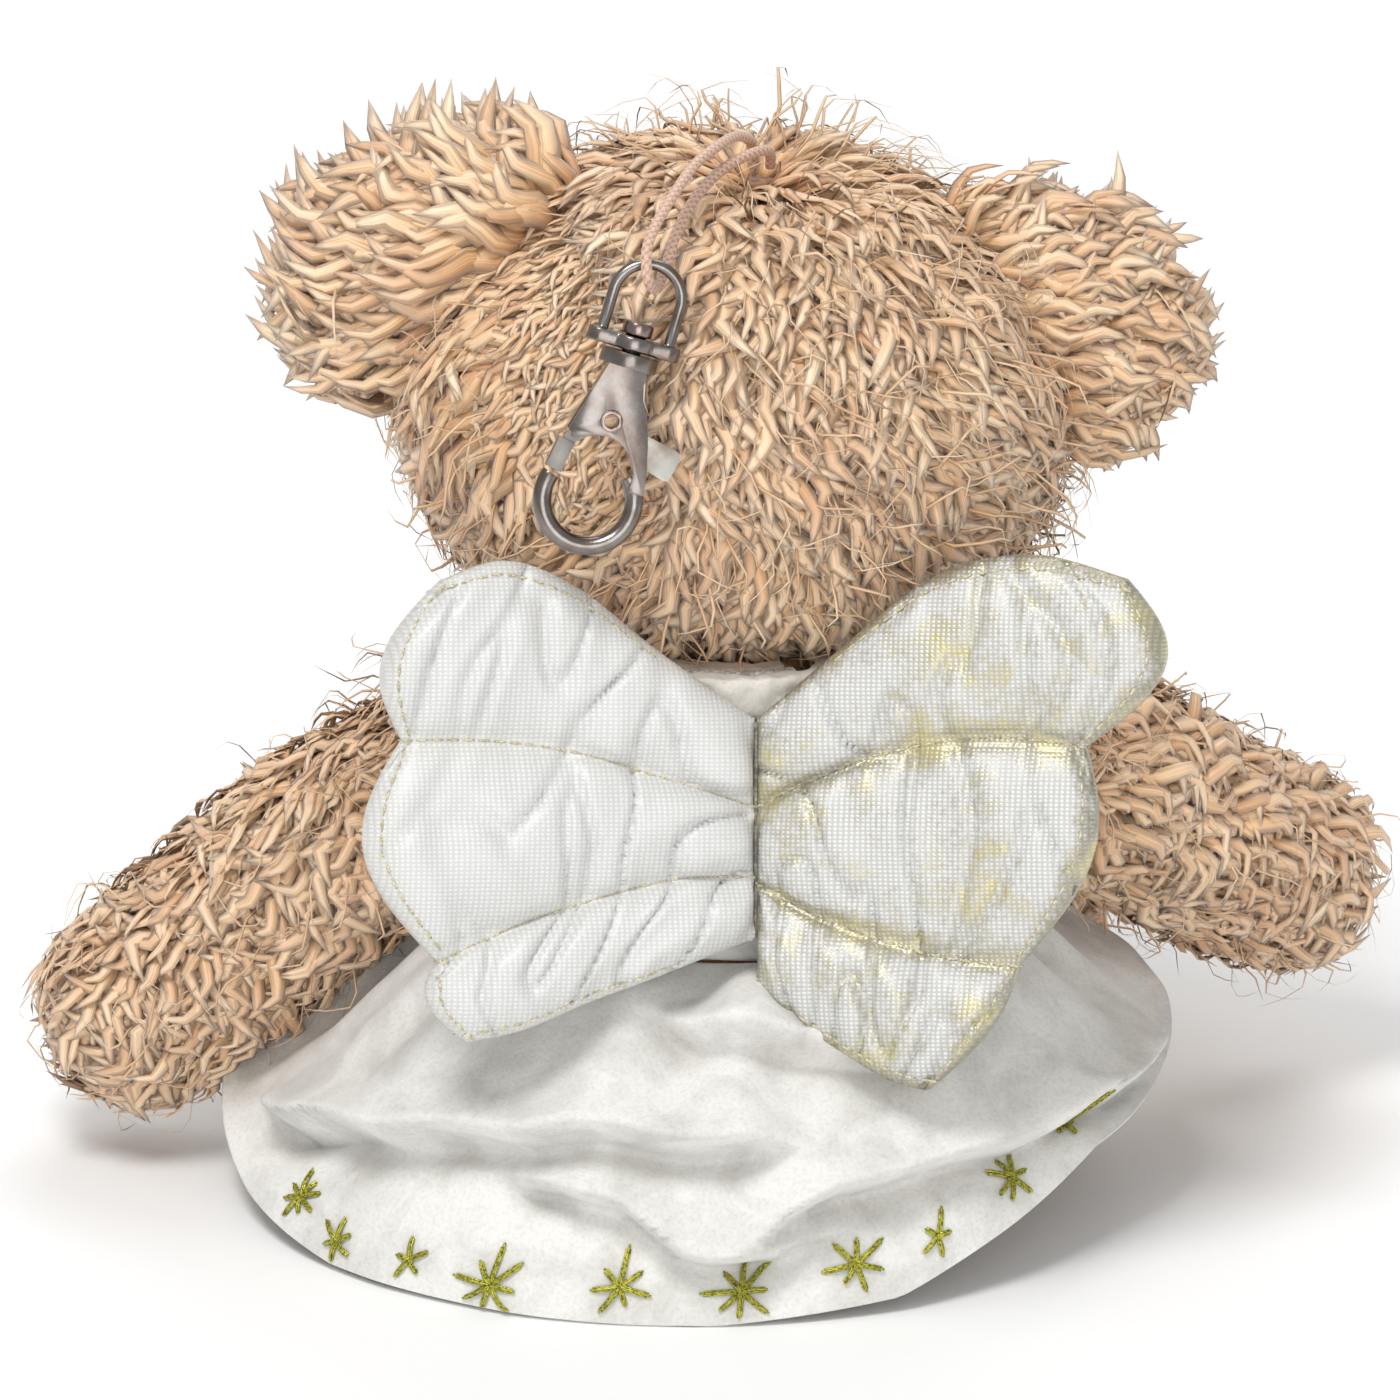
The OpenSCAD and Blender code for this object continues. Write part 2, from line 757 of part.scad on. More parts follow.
module wing_seam_tape() {
  depth = 7;
  color(filling) difference() {
    translate(seam_foot) rotate([-seam_tilt, 0, 0])
      translate([-tape_t / 2, 0, 0]) cube([tape_t, depth, seam_len]);
    body_outline(-layer_gap - dress_t);
    translate([-body_w, -2 * body_w, neckband_z - layer_gap]) cube([2 * body_w, 2 * body_w, seam_len]);
  }
}

// ---- Cord ----

module cord_loop() {
  color(cord_colour)
    polyhedron(tube_rings(cord_route, cord_d / 2, cord_sides), tube_faces(len(cord_route), cord_sides));
}

module cord_knot() {
  top = head_half.z;
  middle = top - backing_t - knot_r - 1;
  color(cord_colour) in_head() union() {
    translate([0, 0, middle - knot_r]) cylinder(h = 2 * knot_r, r = knot_r, $fn = metal_fn);
    for (s = [left, right])
      translate([s * strand_gap / 2, 0, middle]) cylinder(h = top - middle, r = cord_d / 2, $fn = metal_fn);
  }
}

// ---- Clasp ----

module swivel_eye() {
  base = band_z + band_t / 2;
  color(nickel) in_clasp() difference() {
    union() {
      translate([0, 0, band_z]) cylinder(h = band_t, r = band_boss_r, $fn = metal_fn);
      translate([-band_half_w, -band_depth / 2, band_z]) cube([2 * band_half_w, band_depth, band_t]);
      for (s = [left, right])
        translate([s * band_half_w, 0, band_z]) cylinder(h = band_t, r = band_depth / 2, $fn = metal_fn);
      for (s = [left, right])
        translate([s * band_half_w, 0, base])
          cylinder(h = eye_arc_z - base, r = eye_wire / 2, $fn = metal_fn);
      translate([0, 0, eye_arc_z]) rotate([90, 0, 0])
        rotate_extrude(angle = 180, $fn = metal_fn)
          translate([band_half_w, 0]) circle(eye_wire / 2, $fn = metal_fn);
    }
    cylinder(h = eye_arc_z, r = post_d / 2 + post_clearance, $fn = metal_fn);
  }
}

module swivel_post() {
  shank = collar_t + band_gap + band_t + 1;
  color(nickel) in_clasp() union() {
    translate([0, 0, -collar_t / 2]) cylinder(h = shank, r = post_d / 2, $fn = metal_fn);
    translate([0, 0, band_z + band_t + post_seat_gap]) cylinder(h = post_head_t, r = post_head_r, $fn = metal_fn);
  }
}

// Outline of the flat part of the hook, from its neck to its two lower corners
module hook_plate() {
  neck = 1.9;
  polygon([
    [-neck, 0], [neck, 0], [4.7, -8.6], [5.5, -12], [5.8, -14.2], [4.2, -14.2], [0, -9],
    [-3.6, -9.9], [-4.4, -9.1]
  ]);
}

module hook_body() {
  r = hook_wire / 2;
  color(nickel) in_clasp() difference() {
    union() {
      translate([0, 0, -collar_t / 2]) cylinder(h = collar_t, r = collar_r, $fn = metal_fn);
      difference() {
        rotate([90, 0, 0]) translate([0, 0, -hook_body_t / 2]) linear_extrude(hook_body_t) hook_plate();
        translate([0, hook_body_t, loop_opening_z]) rotate([90, 0, 0])
          cylinder(h = 2 * hook_body_t, r = loop_opening_r, $fn = metal_fn);
      }
      translate([bend_centre.x, 0, bend_centre.y]) rotate([90, 0, 0]) rotate([0, 0, 180 - tip_angle])
        rotate_extrude(angle = 180 + tip_angle + leg_angle, $fn = metal_fn)
          translate([hook_bend_r, 0]) circle(r, $fn = metal_fn);
    }
    translate([-collar_r - 4, -slot_w / 2, slot_bottom])
      cube([2 * collar_r + 8, slot_w, slot_top - slot_bottom]);
    translate([0, hook_body_t, rivet_z]) rotate([90, 0, 0])
      cylinder(h = 2 * hook_body_t, r = rivet_d / 2, $fn = metal_fn);
    translate([0, 0, -collar_t / 2]) cylinder(h = 2 * collar_t, r = post_d / 2, $fn = metal_fn);
  }
}

module gate_rivet() {
  color(nickel) in_clasp() translate([0, 0, rivet_z]) rotate([90, 0, 0]) difference() {
    union() {
      cylinder(h = hook_body_t, r = rivet_d / 2, center = true, $fn = metal_fn);
      for (s = [left, right])
        translate([0, 0, s * (hook_body_t + rivet_flange_t) / 2])
          cylinder(h = rivet_flange_t, r = rivet_flange_r, center = true, $fn = metal_fn);
    }
    cylinder(h = 2 * hook_body_t, r = rivet_bore_d / 2, center = true, $fn = metal_fn);
  }
}

// The lever's sheet lies against the back cheek of the slot, which leaves room for the spring

module gate_lever() {
  gate_w = 1.9;
  gate_depth = 2;
  color(pale_steel) in_clasp() difference() {
    union() {
      translate([0, lever_y, rivet_z]) rotate([90, 0, 0])
        cylinder(h = lever_t, r = 1.7, center = true, $fn = metal_fn);
      translate([0, lever_y + lever_t / 2, 0]) rotate([90, 0, 0]) linear_extrude(lever_t)
        polygon([[0.2, -5.6], [4.4, -7.6], [8.3, -8.4], [8.8, -9.2], [8.2, -11.9], [7.6, -12], [5.4, -11.4],
          [1.5, -8.4], [-1, -8.6], [-3.8, -11.2], [-4.7, -10], [-1.4, -6.4]]);
      translate([-4.2, 0, -10.6]) rotate([0, 9, 0]) translate([-gate_w / 2, -gate_depth / 2, -3.5])
        cube([gate_w, gate_depth, 3.6]);
    }
    translate([0, hook_body_t, rivet_z]) rotate([90, 0, 0])
      cylinder(h = 2 * hook_body_t, r = rivet_d / 2 + pivot_clearance, $fn = metal_fn);
  }
}

module gate_spring() {
  coil_r = rivet_d / 2 + 0.1 + spring_wire / 2;
  coil_y = (spring_wire - slot_w) / 2 + 0.05;
  end = [coil_r + 1.6, coil_y, rivet_z - 0.4];
  color(pale_steel) in_clasp() union() {
    translate([0, coil_y, rivet_z]) rotate([90, 0, 0])
      rotate_extrude($fn = metal_fn) translate([coil_r, 0]) circle(spring_wire / 2, $fn = 24);
    rod([coil_r, coil_y, rivet_z], end, 0.8 * spring_wire / 2);
  }
}

// ---- Nodes ----

head_panel(left);  // head_left_panel
head_panel(right);  // head_right_panel
head_stuffing();
ear_layer(left, -1);  // left_ear_back
ear_layer(left, 1);  // left_ear_front
ear_layer(right, -1);  // right_ear_back
ear_layer(right, 1);  // right_ear_front
muzzle();
muzzle_stuffing();
nose();
mouth_stitching();
eye(left);  // left_eye
eye(right);  // right_eye
eye_washer(left);  // left_eye_washer
eye_washer(right);  // right_eye_washer
body_skin();
body_stuffing();
arm_skin(left);  // left_arm_skin
arm_stuffing(left);  // left_arm_stuffing
arm_skin(right);  // right_arm_skin
arm_stuffing(right);  // right_arm_stuffing
leg_skin(left);  // left_leg_skin
leg_stuffing(left);  // left_leg_stuffing
sole(left);  // left_sole
leg_skin(right);  // right_leg_skin
leg_stuffing(right);  // right_leg_stuffing
sole(right);  // right_sole
dress_bodice();
dress_skirt();
neckband_left();
neckband_right();
fastener_hooks();
fastener_loops();
star_embroidery();
color(knit) wing_cover(left, -1);  // left_wing_back
color(knit) wing_cover(left, 1);  // left_wing_front
wing_batting(left);  // left_wing_batting
color(foil) wing_cover(right, -1);  // right_wing_back
color(knit) wing_cover(right, 1);  // right_wing_front
wing_batting(right);  // right_wing_batting
wing_seam_tape();
cord_loop();
cord_knot();
swivel_eye();
swivel_post();
hook_body();
gate_lever();
gate_rivet();
gate_spring();
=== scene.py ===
import math

import bmesh
import bpy
import numpy as np
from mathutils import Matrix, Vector, noise


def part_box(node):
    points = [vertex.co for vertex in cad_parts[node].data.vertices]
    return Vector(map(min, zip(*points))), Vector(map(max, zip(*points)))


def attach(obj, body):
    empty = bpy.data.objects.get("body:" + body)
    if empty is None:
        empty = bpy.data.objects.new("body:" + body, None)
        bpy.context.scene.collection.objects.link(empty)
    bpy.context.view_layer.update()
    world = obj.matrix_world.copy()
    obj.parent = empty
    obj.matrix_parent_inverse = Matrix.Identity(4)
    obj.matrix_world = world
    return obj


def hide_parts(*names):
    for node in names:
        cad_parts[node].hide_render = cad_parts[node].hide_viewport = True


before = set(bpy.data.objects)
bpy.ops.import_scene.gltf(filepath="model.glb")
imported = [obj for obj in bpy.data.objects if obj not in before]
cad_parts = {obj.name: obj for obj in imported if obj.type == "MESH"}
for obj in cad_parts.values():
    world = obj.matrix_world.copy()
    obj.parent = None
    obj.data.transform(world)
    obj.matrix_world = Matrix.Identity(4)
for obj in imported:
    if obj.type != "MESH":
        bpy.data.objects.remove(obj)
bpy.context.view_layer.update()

bl_info = {
    "name": "Plush bear keychain",
    "version": (1, 0, 0),
    "blender": (4, 5, 0),
    "location": "3D View > Sidebar > Plush bear",
    "description": "Makes the pile, dress, wings, cord and clasp finishes of a plush bear keychain",
    "category": "Object",
}

MM = 0.001
LEFT = -1
RIGHT = 1


# ---- Colours and nodes ----

def linear(code):
    """Linear red, green and blue of an sRGB hex colour."""
    shares = [int(code[i:i + 2], 16) / 255 for i in (1, 3, 5)]
    return [c / 12.92 if c <= 0.04045 else ((c + 0.055) / 1.055) ** 2.4 for c in shares]


def shade(colour):
    """A node's four-part colour from a hex code or a linear colour."""
    return (*linear(colour), 1) if isinstance(colour, str) else (*colour, 1)


def add(tree, kind, inputs=None, stops=None, **settings):
    """Adds a node with its settings; each input is a value, or a socket that is linked to it."""
    node = tree.nodes.new(kind)
    for key, value in settings.items():
        setattr(node, key, value)
    for key, value in (inputs or {}).items():
        if isinstance(value, bpy.types.NodeSocket):
            tree.links.new(value, node.inputs[key])
        else:
            node.inputs[key].default_value = value
    if stops:
        elements = node.color_ramp.elements
        while len(elements) < len(stops):
            elements.new(0.5)
        for element, (place, colour) in zip(elements, stops):
            element.position = place
            element.color = shade(colour)
    return node


def finish(name, **shader):
    """A new material; returns it with its node tree and its shader, whose own sockets hold the values."""
    material = bpy.data.materials.new(name)
    material.use_nodes = True
    tree = material.node_tree
    node = tree.nodes["Principled BSDF"]
    for key, value in shader.items():
        node.inputs[key.replace("_", " ")].default_value = value
    return material, tree, node


def mixed(tree, factor, a, b, blend="MIX"):
    """The colour socket of a mix of two colours or sockets."""
    node = add(tree, "ShaderNodeMix", {0: factor, 6: a, 7: b}, data_type="RGBA", blend_type=blend)
    return node.outputs[2]


def bumped(tree, shader, height, strength, depth):
    """Links a height to the shader's normal; depth is in metres."""
    node = add(tree, "ShaderNodeBump", {"Height": height, "Strength": strength, "Distance": depth})
    tree.links.new(node.outputs["Normal"], shader.inputs["Normal"])


# ---- Meshes ----

def piece(name, points, faces, material, smooth=True):
    """A mesh object at the origin, with its place in its mesh."""
    mesh = bpy.data.meshes.new(name)
    mesh.from_pydata(np.asarray(points, float).reshape(-1, 3).tolist(), [], faces)
    mesh.validate()
    outward(mesh)
    mesh.shade_smooth() if smooth else mesh.shade_flat()
    made = bpy.data.objects.new(name, mesh)
    bpy.context.scene.collection.objects.link(made)
    if material:
        mesh.materials.append(material)
    return made


def outward(mesh, merge=0):
    """Turns a closed mesh's faces outwards, after merging its doubles if asked."""
    form = bmesh.new()
    form.from_mesh(mesh)
    if merge:
        bmesh.ops.remove_doubles(form, verts=form.verts, dist=merge)
    bmesh.ops.recalc_face_normals(form, faces=form.faces)
    form.to_mesh(mesh)
    form.free()


def ball(rings, first, last):
    """Points and faces of a closed form from rings of points between two poles."""
    rows, cols = len(rings), len(rings[0])
    points = np.concatenate([np.asarray(rings, float).reshape(-1, 3), [first, last]])
    faces = []
    for i in range(rows - 1):
        for j in range(cols):
            k = (j + 1) % cols
            faces.append((i * cols + j, i * cols + k, (i + 1) * cols + k, (i + 1) * cols + j))
    for j in range(cols):
        k = (j + 1) % cols
        faces.append((rows * cols, j, k))
        faces.append((rows * cols + 1, (rows - 1) * cols + k, (rows - 1) * cols + j))
    return points, faces


def two_sided(outer, inner, closed):
    """Points and faces of a sheet with thickness from two equal grids.
    A closed sheet's last column joins its first."""
    rows, cols = outer.shape[:2]
    count = rows * cols
    points = np.concatenate([outer.reshape(-1, 3), inner.reshape(-1, 3)])
    faces = []
    spans = cols if closed else cols - 1
    for j in range(spans):
        k = (j + 1) % cols
        for i in range(rows - 1):
            a, b, c, d = i * cols + j, i * cols + k, (i + 1) * cols + k, (i + 1) * cols + j
            faces.append((a, b, c, d))
            faces.append((count + a, count + d, count + c, count + b))
        top, low = (rows - 1) * cols + j, (rows - 1) * cols + k
        faces.append((j, count + j, count + k, k))
        faces.append((top, low, count + low, count + top))
    if not closed:
        for i in range(rows - 1):
            for j in (0, cols - 1):
                a, d = i * cols + j, (i + 1) * cols + j
                faces.append((a, d, count + d, count + a))
    return points, faces


def tube(line, radius, sides):
    """Points and faces of a closed tube along a line.
    Its radius is one number, or one for each point and side."""
    line = np.asarray(line, float)
    runs = np.gradient(line, axis=0)
    runs /= np.linalg.norm(runs, axis=1)[:, None]
    across = np.cross(runs[0], (0.3, 0.2, 1.0))
    turns = np.linspace(0, 2 * math.pi, sides, endpoint=False)
    rings = []
    for i, run in enumerate(runs):
        across = across - run * (across @ run)
        across /= np.linalg.norm(across)
        up = np.cross(run, across)
        reach = radius[i] if np.ndim(radius) else np.full(sides, radius)
        rings.append([line[i] + r * (across * math.cos(t) + up * math.sin(t)) for r, t in zip(reach, turns)])
    return ball(rings, line[0], line[-1])


def smooth_line(points, step):
    """A Catmull-Rom curve through the points, with its points about a step apart."""
    points = np.asarray(points, float)
    ends = np.concatenate([[2 * points[0] - points[1]], points, [2 * points[-1] - points[-2]]])
    found = []
    for i in range(len(points) - 1):
        a, b, c, d = ends[i:i + 4]
        count = max(2, round(np.linalg.norm(c - b) / step))
        for f in np.arange(count) / count:
            found.append(0.5 * (2 * b + (c - a) * f + (2 * a - 5 * b + 4 * c - d) * f * f
                                + (3 * b - a - 3 * c + d) * f ** 3))
    return np.array([*found, points[-1]])


def settled(made):
    """Applies an object's modifiers, and leaves it a plain mesh."""
    bpy.context.view_layer.update()
    graph = bpy.context.evaluated_depsgraph_get()
    mesh = bpy.data.meshes.new_from_object(
        made.evaluated_get(graph), preserve_all_data_layers=True, depsgraph=graph)
    made.modifiers.clear()
    old = made.data
    made.data = mesh
    name = old.name
    bpy.data.meshes.remove(old)
    mesh.name = name
    return made


def copied(name, nodes, material):
    """One new object from copies of CAD nodes' meshes, with their doubles merged."""
    form = bmesh.new()
    for node in nodes:
        form.from_mesh(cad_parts[node].data)
    bmesh.ops.remove_doubles(form, verts=form.verts, dist=0.002 * MM)
    mesh = bpy.data.meshes.new(name)
    form.to_mesh(mesh)
    form.free()
    mesh.materials.clear()
    mesh.materials.append(material)
    made = bpy.data.objects.new(name, mesh)
    bpy.context.scene.collection.objects.link(made)
    return made


def cloth_copy(name, nodes, material, cell, passes=3, swell=0.0, wrinkle=0.0, scale=8 * MM, seed=0):
    """A CAD solid's form made again in even cells, smoothed, swollen and wrinkled as fabric."""
    made = copied(name, nodes, material)
    cells = made.modifiers.new("cells", "REMESH")
    cells.mode = "VOXEL"
    cells.voxel_size = cell
    settled(made)
    mesh = made.data
    form = bmesh.new()
    form.from_mesh(mesh)
    for _ in range(passes):
        bmesh.ops.smooth_vert(
            form, verts=form.verts, factor=0.5, use_axis_x=True, use_axis_y=True, use_axis_z=True)
    form.normal_update()
    for vertex in form.verts:
        ripple = noise.noise(vertex.co / scale + Vector((seed, 0, 0)))
        vertex.co += vertex.normal * (swell + wrinkle * ripple)
    form.to_mesh(mesh)
    form.free()
    mesh.materials.clear()
    mesh.materials.append(material)
    mesh.shade_smooth()
    return made


def polished(name, node, material, body, bevel=0.0):
    """A metal or plastic CAD solid copied with merged corners and softened edges."""
    made = copied(name, [node], material)
    form = bmesh.new()
    form.from_mesh(made.data)
    bmesh.ops.dissolve_limit(form, angle_limit=math.radians(1), verts=form.verts, edges=form.edges)
    form.to_mesh(made.data)
    form.free()
    if bevel:
        edge = made.modifiers.new("softened edges", "BEVEL")
        edge.width = bevel
        edge.segments = 2
        edge.limit_method = "ANGLE"
        edge.angle_limit = math.radians(40)
        edge.use_clamp_overlap = True
        settled(made)
    made.data.shade_smooth()
    made.data.set_sharp_from_angle(angle=math.radians(35))
    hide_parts(node)
    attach(made, body)
    return made


def node_box(*nodes):
    """Lowest and highest corner of some CAD nodes."""
    lows, highs = zip(*[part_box(node) for node in nodes])
    return np.min([list(v) for v in lows], axis=0), np.max([list(v) for v in highs], axis=0)


def wander(point, size, seed):
    """A smooth wandering number from -1 to 1."""
    return noise.noise(Vector(point) / size + Vector((seed * 7.3, seed * 1.7, 0)))


# ---- Sizes and colours ----

def size(name, description, default, **limits):
    return bpy.props.FloatProperty(
        name=name, description=description, default=default, unit="LENGTH", **limits)


def tint(name, description, code):
    return bpy.props.FloatVectorProperty(
        name=name, description=description, default=linear(code), subtype="COLOR", size=3, min=0, max=1)


class BearStageSettings(bpy.types.PropertyGroup):
    distance: size("Camera distance", "Distance from the camera to the point that it looks at", 2.0)
    lens: bpy.props.FloatProperty(name="Lens", description="Focal length", default=447, unit="CAMERA")
    elevation: bpy.props.FloatProperty(
        name="Elevation", description="Angle of the camera above the horizon", default=math.radians(20),
        subtype="ANGLE", unit="ROTATION")
    backdrop: tint("Backdrop", "Colour of the floor and backdrop", "#FAFAFA")


class BearPileSettings(bpy.types.PropertyGroup):
    head_length: size("Head pile", "Length of the locks on the head", 12.5 * MM)
    head_spacing: size("Head spacing", "Least distance between the roots of the head's locks", 0.6 * MM)
    limb_length: size("Limb pile", "Length of the locks on the arms and legs", 9.5 * MM)
    limb_spacing: size("Limb spacing", "Least distance between the roots of a limb's locks", 0.68 * MM)
    muzzle_length: size("Muzzle pile", "Length of the locks on the muzzle", 3.4 * MM)
    # The root colour is painted shade of the pile's depths, and the tip colour is a painted highlight.
    root: tint("Root", "Colour at the root of a lock", "#D3A06C")
    middle: tint("Middle", "Colour halfway along a lock", "#F4D2A6")
    tip: tint("Tip", "Colour at the tip of a lock", "#FFECD2")
    backing: tint("Backing", "Colour of the knitted backing", "#CFA074")
    seed: bpy.props.IntProperty(name="Seed", description="Start of the random places", default=11)


class BearDressSettings(bpy.types.PropertyGroup):
    fabric_thickness: size("Fabric thickness", "Thickness of the velour", 1.2 * MM)
    fold_depth: size("Fold depth", "Depth of a fold in the skirt", 5.2 * MM)
    velour: tint("Velour", "Colour of the dress", "#E6E5E1")
    thread: tint("Star thread", "Colour of the metallic embroidery thread", "#BDBB4E")
    thread_radius: size("Thread radius", "Radius of the embroidery thread", 0.15 * MM)


class BearWingSettings(bpy.types.PropertyGroup):
    stitch_pitch: size("Stitch pitch", "Distance from one stitch to the next", 1.75 * MM)
    stitch_length: size("Stitch length", "Length of one stitch", 1.45 * MM)
    wrinkle: size("Wrinkle", "Depth of the pulls beside the sewn lines", 1.15 * MM)
    knit_pitch: size("Knit pitch", "Distance from one knitted rib to the next", 0.63 * MM)
    pearl: tint("Pearl", "Colour of the knitted cover", "#DEDEDD")
    foil: tint("Foil", "Colour of the worn gold foil", "#C4BFAA")
    thread: tint("Seam thread", "Colour of the sewing thread", "#DDD6BE")


class BearClaspSettings(bpy.types.PropertyGroup):
    cord_diameter: size("Cord", "Diameter of the braided cord", 1.3 * MM)
    cord_colour: tint("Cord colour", "Colour of the braid", "#C79C82")
    edge_radius: size("Edge radius", "Radius of the clasp's softened edges", 0.22 * MM)
    metal: tint("Metal", "Colour of the gunmetal nickel plating", "#8A8581")


SETTINGS = {
    "bear_stage": BearStageSettings,
    "bear_pile": BearPileSettings,
    "bear_dress": BearDressSettings,
    "bear_wing": BearWingSettings,
    "bear_clasp": BearClaspSettings,
}


# ---- Materials ----

MADE = {}


def material(maker, *values):
    """Makes a material once, and returns the same one each time after that."""
    key = (maker.__name__, *values)
    if key not in MADE:
        MADE[key] = maker(*values)
    return MADE[key]


def acrylic_pile(name, paler=0.0):
    """Acrylic pile fibres curled into locks, a little glossy at the tip: darker at the root as painted shade
    of the pile's depths, paler at the tip as a painted highlight.
    """
    colours = bpy.context.scene.bear_pile
    made, tree, shader = finish(
        name, Roughness=0.42, IOR=1.49, Sheen_Weight=0.3, Sheen_Roughness=0.4, Specular_IOR_Level=0.6)
    place = add(tree, "ShaderNodeUVMap", uv_map="lock")
    parts = add(tree, "ShaderNodeSeparateXYZ", {0: place.outputs["UV"]})
    chance = add(tree, "ShaderNodeAttribute", attribute_name="chance")
    # Fibres are about a fifteenth of a lock wide, so a lock shows some ten streaks along it: fibre tone,
    # with painted highlights on the brightest.
    across = add(tree, "ShaderNodeMath", {0: parts.outputs[0], 1: 11.0}, operation="MULTIPLY")
    along = add(tree, "ShaderNodeMath", {0: parts.outputs[1], 1: 0.9}, operation="MULTIPLY")
    other = add(tree, "ShaderNodeMath", {0: chance.outputs["Fac"], 1: 61.0}, operation="MULTIPLY")
    stretched = add(tree, "ShaderNodeCombineXYZ", {
        0: across.outputs[0], 1: along.outputs[0], 2: other.outputs[0]})
    streak = add(tree, "ShaderNodeTexNoise", {"Vector": stretched.outputs[0], "Scale": 1.0, "Detail": 2.0})
    # Along a lock the colour runs from painted shade at the root to a painted highlight at the tip.
    length = add(tree, "ShaderNodeValToRGB", {0: parts.outputs[1]}, stops=[
        (0.0, colours.root), (0.3, colours.middle), (1.0, colours.tip)])
    # The darker streaks are fibre tone; the white ones are painted highlights that stand in for the fibres'
    # glints.
    streak_tone_and_glint = add(tree, "ShaderNodeValToRGB", {0: streak.outputs["Fac"]}, stops=[
        (0.34, "#DCC5B0"), (0.48, "#F3EAE0"), (0.62, "#FFFFFF")])
    colour = mixed(tree, 0.75, length.outputs[0], streak_tone_and_glint.outputs[0], "MULTIPLY")
    # Each lock differs a little from its neighbour, and wide patches are duller and pinker.
    each = add(tree, "ShaderNodeValToRGB", {0: chance.outputs["Fac"]}, stops=[
        (0.0, "#E2CDBC"), (0.4, "#F7EEE6"), (1.0, "#FFFFFF")])
    colour = mixed(tree, 0.85, colour, each.outputs[0], "MULTIPLY")
    spot = add(tree, "ShaderNodeTexCoord")
    patch = add(tree, "ShaderNodeTexNoise", {"Vector": spot.outputs["Object"], "Scale": 85.0, "Detail": 2.0})
    wide = add(tree, "ShaderNodeValToRGB", {0: patch.outputs["Fac"]}, stops=[
        (0.38, "#E8D8D2"), (0.56, "#FFFFFF")])
    colour = mixed(tree, 0.4, colour, wide.outputs[0], "MULTIPLY")
    if paler:
        colour = mixed(tree, paler, colour, shade("#DDB79A"))
    tree.links.new(colour, shader.inputs["Base Color"])
    bumped(tree, shader, streak.outputs["Fac"], 0.6, 0.12 * MM)
    return made


def pile_backing(name, code=None):
    """Knitted polyester backing of a pile fabric: matt, with fine rows of loops."""
    colour = code or bpy.context.scene.bear_pile.backing
    made, tree, shader = finish(name, Roughness=0.95, IOR=1.46, Sheen_Weight=0.3, Specular_IOR_Level=0.2)
    spot = add(tree, "ShaderNodeTexCoord")
    loops = add(tree, "ShaderNodeTexVoronoi", {"Vector": spot.outputs["Object"], "Scale": 1 / (0.9 * MM)})
    dusk = add(tree, "ShaderNodeTexNoise", {"Vector": spot.outputs["Object"], "Scale": 120.0})
    deep = mixed(tree, dusk.outputs["Fac"], shade(colour), shade("#FFFFFF"), "MULTIPLY")
    colour = mixed(tree, loops.outputs["Distance"], deep, shade("#6E4A30" if not code else code))
    tree.links.new(colour, shader.inputs["Base Color"])
    bumped(tree, shader, loops.outputs["Distance"], 0.5, 0.2 * MM)
    return made


def velour(name, code=None):
    """Brushed polyester velour: a short dense nap that turns pale at grazing angles."""
    colour = code or bpy.context.scene.bear_dress.velour
    made, tree, shader = finish(
        name, Roughness=0.9, IOR=1.46, Sheen_Weight=0.55, Sheen_Roughness=0.35, Specular_IOR_Level=0.25)
    spot = add(tree, "ShaderNodeTexCoord")
    # The nap is too fine to show, so its clumps are drawn 0.5 mm wide.
    nap = add(tree, "ShaderNodeTexNoise", {
        "Vector": spot.outputs["Object"], "Scale": 1 / (0.5 * MM), "Detail": 3.0, "Roughness": 0.6})
    brushed = add(tree, "ShaderNodeTexNoise", {
        "Vector": spot.outputs["Object"], "Scale": 1 / (7 * MM), "Detail": 4.0, "Distortion": 0.6})
    tone = add(tree, "ShaderNodeValToRGB", {0: brushed.outputs["Fac"]}, stops=[
        (0.3, "#DCDBD8"), (0.6, "#FFFFFF")])
    fleck = add(tree, "ShaderNodeValToRGB", {0: nap.outputs["Fac"]}, stops=[
        (0.3, "#ECEBE9"), (0.55, "#FFFFFF")])
    body = mixed(tree, 0.8, shade(colour), tone.outputs[0], "MULTIPLY")
    body = mixed(tree, 0.7, body, fleck.outputs[0], "MULTIPLY")
    tree.links.new(body, shader.inputs["Base Color"])
    both = add(tree, "ShaderNodeMath", {0: nap.outputs["Fac"], 1: brushed.outputs["Fac"]}, operation="ADD")
    bumped(tree, shader, both.outputs[0], 0.4, 0.22 * MM)
    return made


def knit_height(tree, place, pitch):
    """Height of a fine warp knit, as rounded ribs crossed by courses; place is in metres on the cloth."""
    ribs = add(tree, "ShaderNodeTexWave", {
        "Vector": place, "Scale": 1 / (pitch * 6.2832) * 2, "Distortion": 0.6, "Detail": 1.0,
        "Detail Scale": 2.0}, bands_direction="X")
    rows = add(tree, "ShaderNodeTexWave", {
        "Vector": place, "Scale": 1 / (pitch * 6.2832) * 2.6, "Distortion": 0.8, "Detail": 1.0,
        "Detail Scale": 2.0}, bands_direction="Y")
    return add(tree, "ShaderNodeMath", {
        0: ribs.outputs["Fac"], 1: rows.outputs["Fac"]}, operation="MULTIPLY")


